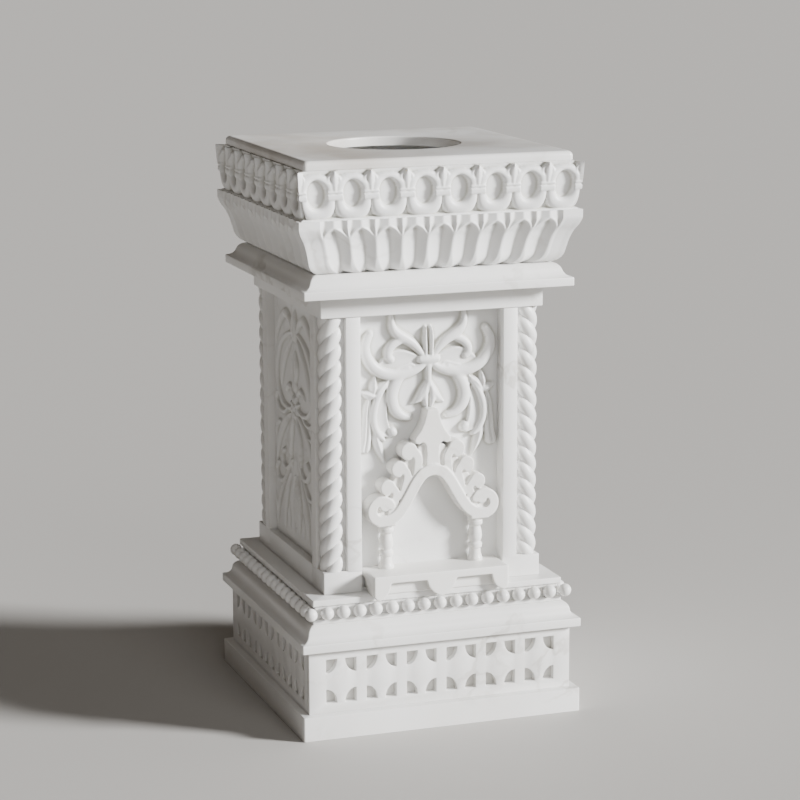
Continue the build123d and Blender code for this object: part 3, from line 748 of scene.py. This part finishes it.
lotus = {"petals": 9, "pitch": 29.3, "mitre": 12.0, "well": 100.0, "cell": 0.95, "joint": 37.0, "apex": 49.6,
         "top": 57.5, "gouge": 6.4, "gougeFade": 8, "fold": 0.2, "foldPowers": (1.3, 0.9), "rim": 0.9, "waist": 5.2,
         "archPower": 2.1, "pleat": 3.2, "dart": 5.6, "cornerHollow": 0.5,
         "profile": [(127.0, 0.0), (134.0, 3.5), (138.6, 9.3), (141.0, 17.9), (143.3, 26.5), (146.8, 35.2),
                     (151.0, 42.0), (153.8, 49.5), (153.8, 57.5)]}   # half width, height


def petalDepth(u, v):
    way, u = np.sign(u), np.abs(u)
    half, joint, apex, top = lotus["pitch"] / 2, lotus["joint"], lotus["apex"], lotus["top"]
    # gouge: an almond, widest at the joint, with straight sides down to a narrower foot and a pointed arch over it
    waist = half - lotus["rim"] - lotus["waist"] * (1 - ramp(v, -9, 20))
    arch = np.clip(1 - np.clip((v - joint) / (apex - joint), 0, 1) ** lotus["archPower"], 0, 1)
    gougeHalf = np.where(v < joint, waist, (half - lotus["rim"]) * arch)
    share = way * np.clip(u / np.maximum(gougeHalf, 0.05), 0, 1)
    # its fold runs a little to the right of the middle, steeper on that side
    fold, (leftPower, rightPower) = lotus["fold"], lotus["foldPowers"]
    left = 1 - (np.clip(fold - share, 0, None) / (1 + fold)) ** leftPower
    right = 1 - (np.clip(share - fold, 0, None) / (1 - fold)) ** rightPower
    gouge = lotus["gouge"] * np.where(share < fold, left, right) * np.clip(gougeHalf / lotus["gougeFade"], 0, 1)
    gouge = np.where(u < gougeHalf, gouge, 0)
    # pleats over the arches: the petal's tip and the dart between two petals are ridges with a valley between
    valley = half - lotus["dart"] * (1 - (1 - np.clip((v - joint) / (top - joint), 0, 1)) ** 2)
    slope = np.clip((u - gougeHalf) / np.maximum(valley - gougeHalf, 0.3), 0, 1)
    dart = np.clip((half - u) / np.maximum(half - valley, 0.3), 0, 1)
    pleat = np.where(u < valley, slope, dart) * lotus["pleat"] * ramp(v, joint - 1, joint + 9)
    pleat = np.where((v > joint - 1) & (u >= gougeHalf), pleat, 0)
    return np.maximum(gouge, pleat)


def cornerDepth(u, v, start, end):
    # plain leaf at the corner, very slightly hollow, closed by the rim of the last petal
    edge = petalDepth(np.full_like(u, lotus["pitch"] / 2), v)
    fade = 1 - ramp(u - start, 0, 3.5)
    side = ramp(u - start, 0.6, 4) * (1 - ramp(u, end - 8, end - 1.2))
    hollow = lotus["cornerHollow"] * side * (1 - ramp(v, 40, 52))
    return np.maximum(edge * fade, hollow)


foot, top = levelsOf("lotus_course")
topHalf = halfOf("lotus_course")
vs = np.linspace(0, top - foot, int((top - foot) / lotus["cell"]) + 1)
curve = smoothPath([(z, x) for x, z in lotus["profile"]], 0.4)
halves = np.minimum(np.interp(vs, curve[:, 0], curve[:, 1]), topHalf)
pitch = lotus["pitch"]
us = np.linspace(-pitch / 2, pitch / 2, int(pitch / lotus["cell"]) + 2)
tile = carvedTile("petalTile", us, vs, blurred(petalDepth(*np.meshgrid(us, vs))), halves, lotus["well"], foot)
start = lotus["petals"] * pitch / 2
us = np.linspace(start, topHalf, int((topHalf - start) / lotus["cell"]) + 1)
cornerTile = newObject("cornerTile", carvedTile("cornerTile", us, vs, cornerDepth(*np.meshgrid(us, vs), start, topHalf),
                                                halves, lotus["well"], foot))
course = grow("lotusCourse", courseTree, {
    "Tiles": lotus["petals"], "Pitch": pitch * mm, "Top Half": topHalf * mm, "Mitre": lotus["mitre"] * mm,
    "Corner Tile": cornerTile, "Marble": carvedMarble}, tile)
finishPiece("lotusCourse", "lotus_course", course, carvedMarble, crease=60)
for helper in (emptyTile, cornerTile):
    bpy.data.objects.remove(helper)
print("lotus course ready")


relief = {"cell": 0.8, "edge": 1.5, "blend": 2.2, "front": 103.0, "sideFront": 112.0, "sideHeight": 0.62,
          "railFront": 121.0, "railBack": 110.0, "railEdge": 0.8, "back": 89.0, "visible": 79.0, "tongue": 85.0}

# height across a stroke: away is 0 on its middle line and 1 at its edge, crown is round over it, off tells the side
sections = {
    "ridge": lambda away, crown, off: 0.55 + 0.2 * crown + 0.25 * np.clip(1 - away, 0, 1),
    "round": lambda away, crown, off: 0.3 + 0.7 * crown,
    "fold": lambda away, crown, off: 0.38 + 0.62 * np.clip(1 - away, 0, 1),
    "hollow": lambda away, crown, off: 0.62 + 0.38 * np.clip(away, 0, 1) ** 2,
    "striped": lambda away, crown, off: 0.8 - 0.13 * np.cos(off * 3 * pi),
}


def strokeInto(field, xs, zs, section, rows):
    # rows: x, z, half width, height. A stroke is laid over what is already carved, on both halves of the panel
    # unless its section starts with "one"
    path = smoothPath(rows, 2.0)
    for sign in (1,) if section.startswith("one ") else (1, -1):
        line = path.copy()
        line[:, 0] *= sign
        reach = line[:, 2].max() + 0.5
        cols = np.nonzero((xs > line[:, 0].min() - reach) & (xs < line[:, 0].max() + reach))[0]
        rowsIn = np.nonzero((zs > line[:, 1].min() - reach) & (zs < line[:, 1].max() + reach))[0]
        window = np.ix_(rowsIn, cols)
        px, pz = np.meshgrid(xs[cols], zs[rowsIn])
        best = np.full(px.shape, 9.0)
        wide, tall, off = np.ones(px.shape), np.zeros(px.shape), np.zeros(px.shape)
        for a, b in zip(line, line[1:]):
            dx, dz = b[0] - a[0], b[1] - a[1]
            length = max(dx * dx + dz * dz, 1e-9)
            t = np.clip(((px - a[0]) * dx + (pz - a[1]) * dz) / length, 0, 1)
            away = np.hypot(px - a[0] - t * dx, pz - a[1] - t * dz)
            w = np.maximum(a[2] + t * (b[2] - a[2]), 0.3)
            nearer = away / w < best
            best = np.where(nearer, away / w, best)
            wide = np.where(nearer, w, wide)
            tall = np.where(nearer, a[3] + t * (b[3] - a[3]), tall)
            side = sign * ((px - a[0]) * dz - (pz - a[1]) * dx) / np.sqrt(length)
            off = np.where(nearer, side / w, off)
        crown = np.sqrt(np.clip(1 - best ** 2, 0, 1))
        shape = ramp((1 - best) * wide, 0, relief["edge"]) * sections[section.split()[-1]](best, crown, off)
        # soft union with what is already carved
        old, new = field[window], tall * shape
        close = np.clip(1 - np.abs(old - new) / relief["blend"], 0, 1) ** 2 * ramp(np.minimum(old, new), 0, 2)
        field[window] = np.maximum(old, new) + close * relief["blend"] / 4


def reliefPanel(name, strokes, low, high, plane, height=1.0):
    # a slab with its carving on the front; the tongues at both sides stand in the grooves of the posts
    xs = np.linspace(-relief["visible"], relief["visible"], int(2 * relief["visible"] / relief["cell"]) + 1)
    zs = np.linspace(low, high, int((high - low) / relief["cell"]) + 1)
    field = np.zeros((len(zs), len(xs)))
    for section, rows in strokes:
        strokeInto(field, xs, zs, section, rows)
    field = blurred(field) * height
    xs = np.concatenate([[-relief["tongue"]], xs, [relief["tongue"]]])
    # painted shade: the hollows of the relief are marked for a darker colour
    paintedShade, field = (np.pad(values, ((0, 0), (1, 1))) for values in (creviceOf(-field, 25), field))
    rows, cols = field.shape
    front = np.stack([np.broadcast_to(xs, field.shape), -plane - field, np.broadcast_to(zs[:, None], field.shape)], 2)
    index = np.arange(rows * cols).reshape(rows, cols)
    faces = np.stack([index[:-1, :-1], index[:-1, 1:], index[1:, 1:], index[1:, :-1]], 2).reshape(-1, 4).tolist()
    border = np.concatenate([index[0, :-1], index[:-1, -1], index[-1, :0:-1], index[:0:-1, 0]]).tolist()
    points = front.reshape(-1, 3)
    backPoints = points[border]
    backPoints[:, 1] = -relief["back"]
    count, start = len(border), len(points)
    for number in range(count):
        after = (number + 1) % count
        faces.append([border[after], border[number], start + number, start + after])
    faces.append([start + number for number in reversed(range(count))])
    return meshFrom(name, np.vstack([points, backPoints]), faces, crevice=np.pad(paintedShade.ravel(), (0, count)))


frontStrokes = [
    # body of the big leaf, between its horn and its curl
    ("hollow", [(9, 386, 4, 5), (20, 387, 9, 5.5), (33, 388, 11, 5.5), (43, 385, 9, 5), (52, 382, 5, 4)]),
    ("hollow", [(20, 378, 7, 6), (36, 370, 9, 6), (40, 360, 8, 6)]),
    # outer fluted leaf
    ("striped", [(65.0, 350, 2.6, 5), (66.8, 337, 5.2, 6.6), (67.8, 320, 6.0, 7), (68.8, 306, 6.2, 7),
                 (70.4, 297, 6.8, 7.6)]),
    # low leaf under the ribbon
    ("fold", [(59.5, 313, 4.4, 6), (57.0, 303, 6.0, 7.6), (53.4, 292, 4.6, 7), (48.4, 279, 1.2, 4)]),
    # long leaf: a hollow body with a ribbon along its outer side, and its curl
    ("hollow", [(50.0, 353, 4, 5), (52.6, 341, 7.4, 6), (53.0, 327, 8.4, 6), (49.0, 315, 7.2, 6),
                (43.0, 310, 5.0, 6)]),
    ("round", [(47.5, 362, 3.0, 7), (54.0, 353.5, 4.2, 8.2), (59.0, 343, 4.8, 8.8), (61.3, 331, 4.8, 8.8),
               (60.2, 319.5, 4.6, 8.6), (55.8, 310.5, 4.4, 8.2), (49.8, 304, 3.0, 7)]),
    ("round", [(40.8, 313, 5.4, 8), (39.6, 311.6, 5.6, 8)]),
    # three small leaves over the long one
    ("fold", [(57.4, 351.6, 2.4, 6.5), (64.4, 352.4, 5.8, 9), (73.4, 355.6, 1.8, 6)]),
    ("fold", [(60.4, 350, 2.6, 7), (54.0, 358.4, 5.6, 9), (45.0, 366.6, 1.6, 6)]),
    ("fold", [(61.0, 353, 2.4, 7), (60.6, 361, 5.0, 9), (58.8, 371.5, 1.6, 6)]),
    # lower arm, hooked inwards with a blunt end
    ("round", [(22.0, 377, 5.0, 6.5), (31.0, 371, 6.6, 7.5), (37.4, 361, 7.2, 8), (40.4, 349.1, 7.2, 8.4),
               (38.0, 337.2, 7.0, 8.4), (31.0, 329.5, 5.8, 8), (24.0, 326.6, 4.6, 7.5), (21.4, 326.2, 4.2, 7)]),
    # horn, blunt and broad
    ("round", [(4.0, 383, 4.2, 7), (12.0, 377.3, 5.2, 7.5), (26.0, 373.0, 6.4, 8), (43.2, 373.4, 7.0, 8.6),
               (58.0, 380.0, 7.0, 8.9), (67.2, 392, 6.5, 8.9), (69.4, 404, 5.8, 8.5), (66.6, 412.5, 5.2, 7.8),
               (64.2, 416.5, 4.6, 7)]),
    # ear curl
    ("round", [(22.0, 410.5, 3.6, 6), (31.0, 408.5, 5.0, 7.2), (39.0, 404.5, 5.4, 7.6), (44.0, 398.5, 5.4, 7.8),
               (44.4, 392.5, 5.2, 7.6), (41.5, 388.9, 4.8, 7)]),
    # upper curl, up to the frame
    ("round", [(6.0, 391, 4.0, 7), (11.2, 398, 4.8, 7.5), (18.5, 405.5, 5.8, 8), (27.5, 411.2, 6.4, 8.4),
               (35.4, 417.0, 6.0, 8.2), (39.8, 425, 4.6, 7.5), (40.5, 437.0, 2.6, 6)]),
    # stem, bell and drop
    ("round", [(0.0, 383, 4.8, 7), (0, 370, 4.2, 6.8), (0, 360.0, 4.2, 7)]),
    ("ridge", [(0.5, 364, 3.6, 7), (4.5, 354, 6.0, 8), (9.5, 346.5, 5.4, 7.6), (17.4, 340.2, 1.4, 5)]),
    ("ridge", [(2.4, 359, 3.2, 7.5), (4.2, 348, 4.8, 8.4), (3.4, 340.5, 3.8, 8), (0.8, 331.4, 1.2, 6)]),
    # bud of two tall lobes
    ("round", [(2.9, 389, 2.4, 7.5), (3.5, 399, 3.0, 8.2), (3.8, 408, 3.0, 8.2), (3.5, 416, 2.6, 7.8),
               (2.9, 420.5, 2.0, 7)]),
    # tie round the waist
    ("one round", [(-9.0, 387.3, 5.0, 9), (-4, 387.3, 5.4, 9.4), (4, 387.3, 5.4, 9.4), (9.0, 387.3, 5.0, 9)]),
]

sideStrokes = [
    ("round", [(3.0, 404, 2.4, 4), (26, 399, 3.2, 5), (50, 386, 3.6, 5.5), (64, 362, 3.8, 5.5),
               (63, 338, 3.8, 5.5), (47, 322, 3.4, 5), (24, 318, 3.0, 5), (8, 322, 2.4, 5)]),
    ("ridge", [(9.0, 405, 1.6, 4), (18, 416, 4.6, 6), (33, 421, 5.4, 6.5), (50, 412, 5.0, 6), (66, 394, 3.6, 5),
               (71, 380, 0.8, 3)]),
    ("ridge", [(2.6, 396, 2.6, 5), (5.2, 406, 4.4, 6.5), (4.0, 417, 3.2, 6.5), (0.5, 430, 0.6, 4)]),
    ("ridge", [(10, 397, 2.0, 4), (24, 384, 4.2, 5.5), (38, 370, 5.0, 6), (47, 352, 4.2, 5.5), (50, 336, 0.8, 3)]),
    ("ridge", [(3.0, 352, 2.2, 5), (6.4, 362, 4.6, 6.5), (4.8, 373, 3.6, 6.5), (0.5, 386, 0.6, 4)]),
    ("ridge", [(0.5, 338, 0.8, 4), (3.6, 345, 2.8, 5.5), (2.0, 353, 1.4, 5)]),
    ("ridge", [(8, 336, 1.8, 4), (17, 343, 4.0, 5.5), (27, 341, 3.6, 5), (35, 334, 0.8, 3)]),
    ("ridge", [(6.0, 310, 2.2, 5), (14, 292, 4.8, 6), (18, 272, 4.6, 6), (15.5, 250, 0.8, 3)]),
    ("ridge", [(12.0, 314, 2.2, 5), (32, 304, 5.2, 6), (52, 287, 5.6, 6), (66, 264, 3.8, 5), (71, 246, 0.8, 3)]),
    ("round", [(20, 320, 2.2, 4.5), (40, 311, 3.0, 5), (58, 312, 3.2, 5), (68, 320, 3.2, 5.5), (66, 328, 3.4, 5.5)]),
    ("ridge", [(48, 298, 1.5, 4), (60, 296, 4.0, 5), (70, 288, 3.2, 5), (74, 276, 0.8, 3)]),
    ("round", [(14, 262, 2.2, 4), (30, 250, 3.0, 5), (44, 252, 3.4, 5.5), (49, 262, 3.4, 5.5), (42, 268, 3.6, 5.5)]),
    ("round", [(24, 252, 2.0, 4), (44, 234, 3.4, 5), (62, 232, 3.6, 5.5), (70, 242, 3.4, 5.5), (64, 250, 3.6, 5.5)]),
    ("ridge", [(40, 233, 1.6, 4), (58, 218, 4.4, 5.5), (68, 200, 4.4, 5.5), (72, 178, 0.8, 3)]),
    ("ridge", [(20, 246, 1.8, 4), (32, 226, 5.0, 6), (40, 204, 5.2, 6), (44, 178, 0.8, 3)]),
    ("ridge", [(4.0, 246, 1.8, 4), (10, 226, 4.8, 6), (12, 204, 4.6, 6), (8, 180, 0.8, 3)]),
    ("ridge", [(0.3, 240, 1.0, 4), (2.2, 222, 2.2, 5), (2.0, 200, 2.0, 5), (0.2, 184, 0.6, 3)]),
    ("ridge", [(25, 212, 1.0, 3), (26.5, 198, 3.6, 5), (26, 182, 0.8, 3)]),
]
rosette = {"z": 322, "petals": 8, "heart": 5.0, "reach": (5, 10, 15.5)}
middle, count = rosette["z"], rosette["petals"]
sideStrokes += [("one round", [(0, middle, rosette["heart"], 7.5), (0.6, middle, rosette["heart"], 7.5)])]
for turn in range(count):
    a = turn * tau / count + tau / (2 * count)
    sideStrokes.append(("one ridge", [(r * cos(a), middle + r * sin(a), wide, tall) for r, wide, tall in zip(
        rosette["reach"], (1.6, 3.8, 0.8), (5, 6.4, 4))]))

foot, top = levelsOf("carved_panel_front")
finishPiece("carvedPanelFront", "carved_panel_front",
            reliefPanel("carvedPanelFront", frontStrokes, foot, top, relief["front"]),
            carvedMarble, crease=60)
railHalf, railFront, railBack = relief["visible"], -relief["railFront"], -relief["railBack"]
railOutline = [(-railHalf, railFront), (railHalf, railFront), (railHalf, railBack), (-railHalf, railBack)]
rail = bevelledPrism("rail", railOutline, foot, foot + post["block"], relief["railEdge"])
sidePanel = reliefPanel("carvedPanelSide", sideStrokes, foot, top, relief["sideFront"], relief["sideHeight"])
sidePanel = joined("carvedPanelSide", sidePanel, rail)
for quarters, side in enumerate(("Right", "Back", "Left"), 1):
    finishPiece("carvedPanel" + side, "carved_panel_" + side.lower(), turned(sidePanel, quarters),
                carvedMarble, crease=60)
print("carved panels ready")


def carvedBlock(name, parts, look):
    # overlapping blocks fused into one skin, then rubbed down a little
    thing = newObject(name, meshFrom(name, *gathered(parts)))
    fuse = thing.modifiers.new("fuse", "REMESH")
    fuse.mode = "VOXEL"
    fuse.voxel_size = look["voxel"] * mm
    rub = thing.modifiers.new("rub", "SMOOTH")
    rub.factor = 0.5
    rub.iterations = look["smoothing"]
    return takeMesh(thing)


def mirroredParts(parts):
    result = list(parts)
    for points, faces in parts:
        result.append(([(-x, y, z) for x, y, z in points], [list(reversed(face)) for face in faces]))
    return result


shrine = {"panel": 102.6, "balusterX": 50.0, "balusterY": 113.5}

# half of the arch in x and z; the set-backs say how far each form lies behind the arch's front
arch = {
    "front": 124.0, "voxel": 0.65, "smoothing": 5,
    "bandHalf": 5.9, "band": [(-2, 271.8), (4, 271.2), (11.5, 267.8), (18.5, 259.5), (25.0, 248.5), (31.5, 237.5),
                              (38.5, 228.0), (46.5, 222.3), (55.0, 220.6)],
    "scroll": (57.0, 231.5), "scrollRadius": 10.9, "scrollTurn": (-70, 150), "scrollHalf": 5.6, "eye": 13.0,
    "curl": [(48.5, 238.0, 4.4), (50.5, 241.0, 4.6), (53.5, 238.5, 5.2), (54.2, 236.6, 5.6)],
    "pad": [(42, 214.7), (62, 214.7), (62, 222), (42, 222)],
    "crockets": ((26.3, 292.5, 9.5, 17.5, 272.0), (37.5, 274.5, 8.8, 31.5, 252.0), (50.0, 255.5, 8.6, 45.5, 232.0)),
    "crocketSweep": (172, 130, 90, 45, 0, -40, -78),
    "web": [(4, 270), (20, 292), (34, 276), (46, 256), (56, 238), (44, 222), (24, 246), (10, 268)],
    "neck": [(-2, 268), (15, 268), (15, 296), (9, 300), (-2, 300)],
    "fan": [(-2, 336), (5.2, 336), (6.4, 335), (7.6, 329), (9.6, 322), (13.2, 314), (18.6, 307), (20.4, 303.8),
            (19.0, 300.4), (15.0, 299.4), (11.6, 301.4), (9.2, 300.0), (7.6, 297), (7.0, 288), (8.2, 270), (-2, 270)],
    "setBack": {"curl": 0.2, "eye": 4.5, "tail": 1.9, "head": 4.4, "web": 6.5, "neck": 5.5, "fan": 2.2},
}


def archParts():
    front, back, setBack = -arch["front"], -shrine["panel"], arch["setBack"]
    # the band from the crown down to the foot, then round the scroll
    path = [(x, z, arch["bandHalf"]) for x, z in arch["band"]]
    (scrollX, scrollZ), (start, end) = arch["scroll"], arch["scrollTurn"]
    for t in np.linspace(start, end, 12):   # the scroll opens by 0.2 and thins by 1.1 on its way
        a, r = radians(t), arch["scrollRadius"] + 0.2 * (t - start) / (end - start)
        half = arch["scrollHalf"] - 1.1 * (t - start) / (end - start)
        path.append((scrollX + r * cos(a), scrollZ + r * sin(a), half))
    parts = [discRow(smoothPath(path, 0.8), front, back),
             discRow(smoothPath(arch["curl"], 1.0), front + setBack["curl"], back),
             discRow([(scrollX, scrollZ, arch["eye"])], front + setBack["eye"], back, 40),
             prism(arch["pad"], front, back)]
    # three crockets: the tail climbs from the band, turns over and ends in a round head
    for hx, hz, r, tx, tz in arch["crockets"]:
        half, reach = 0.47 * r, 0.53 * r
        tail = [(tx + 1.0, tz - 8, 4.8), (tx - 0.5, tz + 2, 4.8), (hx - 1.04 * r, hz - 0.85 * r, half + 0.2)]
        tail += [(hx + reach * cos(radians(a)), hz + reach * sin(radians(a)), half) for a in arch["crocketSweep"]]
        parts.append(discRow(smoothPath(tail, 0.8), front + setBack["tail"], back))
        parts.append(discRow([(hx, hz, r - 0.6)], front + setBack["head"], back, 40))
    # web behind the leaves, then the fan-shaped finial with two lobes on its neck
    parts += [prism(arch[part], front + setBack[part], back) for part in ("web", "neck", "fan")]
    return mirroredParts(parts)


finishPiece("shrineArch", "shrine_arch", carvedBlock("shrineArch", archParts(), arch), shrineMarble, crease=80)
print("arch ready")

# the drop and the end pendants are outlines in x and z, with z from the underside of the shelf
shelf = {
    "half": 75.0, "front": 149.0, "top": 168.0, "thick": 8.0, "apron": 5.0, "voxel": 0.8, "smoothing": 8,
    "recess": 140.5, "recessHalf": 70.5, "recessFoot": 146.3, "cheek": (70, 75), "cheekBack": 127.0, "cheekSlope": 14,
    "drop": [(16.6, 2), (16.4, -1.5), (15.0, -6), (12.2, -10.6), (8.4, -14.4), (4.4, -17.0), (1.6, -18.2), (0, -18.4)],
    "end": [(75, 2), (75, -12), (73.2, -16.2), (70.0, -18.4), (66.0, -16.8), (61.6, -13.6), (58.2, -9.0), (56.5, -3.6),
            (56, 2)],
}


def shelfParts():
    half, front, back, floor = shelf["half"], -shelf["front"], -shrine["panel"], shelf["recessFoot"]
    low, high = shelf["top"] - shelf["thick"], shelf["top"]
    drop, end = ([(x, low + z) for x, z in shelf[part]] for part in ("drop", "end"))
    drop += [(-x, z) for x, z in drop[-2::-1]]
    parts = [prism([(-half, low), (half, low), (half, high), (-half, high)], front, back),
             prism(drop, front, front + shelf["apron"])]
    cheekBack = -shelf["cheekBack"]
    cheek = [(front, low + 1), (front, floor), (cheekBack, floor), (cheekBack + shelf["cheekSlope"], low + 1)]
    cheekPoints = [(x, y, z) for x in shelf["cheek"] for y, z in cheek]
    cheekFaces = [[0, 1, 2, 3], [7, 6, 5, 4], [0, 4, 5, 1], [1, 5, 6, 2], [2, 6, 7, 3], [3, 7, 4, 0]]
    parts += mirroredParts([prism(end, front, front + shelf["apron"]), (cheekPoints, cheekFaces)])
    inner = shelf["recessHalf"]
    parts.append(prism([(-inner, floor), (inner, floor), (inner, low + 1), (-inner, low + 1)], -shelf["recess"], back))
    return parts


finishPiece("shrineShelf", "shrine_shelf", carvedBlock("shrineShelf", shelfParts(), shelf), shrineMarble, crease=80)

# the baluster's radius and height, from its foot up
turning = [(8.0, 0), (8.0, 2.4), (7.7, 3.2), (7.0, 5.0), (6.3, 8.0), (5.95, 11.5), (6.0, 12.8), (7.0, 13.6),
           (7.5, 14.6), (7.6, 16.5), (7.5, 18.2), (6.6, 19.2), (5.9, 20.2), (6.3, 21.4), (7.2, 24.0), (7.45, 27.0),
           (7.1, 31.0), (6.3, 34.5), (5.9, 37.0), (6.4, 38.0), (7.6, 39.0), (8.0, 40.2), (8.0, 43.0), (7.6, 44.0),
           (7.9, 45.0), (7.9, 46.7)]


def turnedShaft(name, profile, x, y, z, sides=40):
    points = [(x + r * cos(t * tau / sides), y + r * sin(t * tau / sides), z + h)
              for r, h in profile for t in range(sides)]
    faces = []
    for level in range(len(profile) - 1):
        for t in range(sides):
            a, b = level * sides + t, level * sides + (t + 1) % sides
            faces.append([a, b, b + sides, a + sides])
    faces += [list(range(sides))[::-1], [len(points) - sides + t for t in range(sides)]]
    return meshFrom(name, points, faces)


for side, sign in (("Left", -1), ("Right", 1)):
    name, node = "shrineBaluster" + side, "shrine_baluster_" + side.lower()
    mesh = turnedShaft(name, smoothPath(turning, 0.6), sign * shrine["balusterX"], -shrine["balusterY"],
                       levelsOf(node)[0])
    finishPiece(name, node, mesh, shrineMarble, crease=50)
print("shrine ready")


# these nodes keep their own shape
for node, material in (("base_core", sawnMarble), ("post_dowels_lower", pinSteel), ("post_dowels_upper", pinSteel)):
    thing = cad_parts[node]
    thing.data.materials.clear()
    thing.data.materials.append(material)


studio = {"floor": (0.48, 0.466, 0.445), "world": (1.0, 0.87, 0.74), "worldStrength": 0.09,
          "suns": ((10.5, 57.0, 19.0, 12.0), (0.75, 4.0, 28.0, 34.0))}   # strength, turn to the right, rise, spread

floorMesh = bpy.data.meshes.new("studioFloor")
floorMesh.from_pydata([(-30, -12, 0), (30, -12, 0), (30, 48, 0), (-30, 48, 0)], [], [(0, 1, 2, 3)])
studioFloor = newObject("studioFloor", floorMesh)
paper = bpy.data.materials.new("paleFloor")
paper.use_nodes = True
paper.node_tree.nodes["Principled BSDF"].inputs["Base Color"].default_value = (*studio["floor"], 1)
paper.node_tree.nodes["Principled BSDF"].inputs["Roughness"].default_value = 0.9
floorMesh.materials.append(paper)

for strength, turn, rise, spread in studio["suns"]:
    sun = bpy.data.lights.new("sun", "SUN")
    sun.energy, sun.angle = strength, radians(spread)
    turn, rise = radians(turn), radians(rise)
    ray = Vector((sin(turn) * cos(rise), -cos(turn) * cos(rise), sin(rise)))
    newObject("sun", sun).rotation_euler = ray.to_track_quat("Z", "Y").to_euler()
world = bpy.data.worlds.new("studio")
world.use_nodes = True
world.node_tree.nodes["Background"].inputs["Color"].default_value = (*studio["world"], 1)
world.node_tree.nodes["Background"].inputs["Strength"].default_value = studio["worldStrength"]
bpy.context.scene.world = world

view = {"place": (-0.904, -2.603, 0.880), "yaw": 0.336290714, "pitch": -0.199502384, "roll": -0.00403110503,
        "lens": 116.24}
lens = bpy.data.cameras.new("camera")
lens.lens, lens.sensor_width, lens.clip_end = view["lens"], 36.0, 200.0
camera = newObject("camera", lens)
camera.location = view["place"]
camera.rotation_euler = (Matrix.Rotation(-view["yaw"], 3, "Z") @ Matrix.Rotation(pi / 2 + view["pitch"], 3, "X")
                         @ Matrix.Rotation(view["roll"], 3, "Z")).to_euler()
bpy.context.scene.camera = camera
print("floor, light and camera ready")
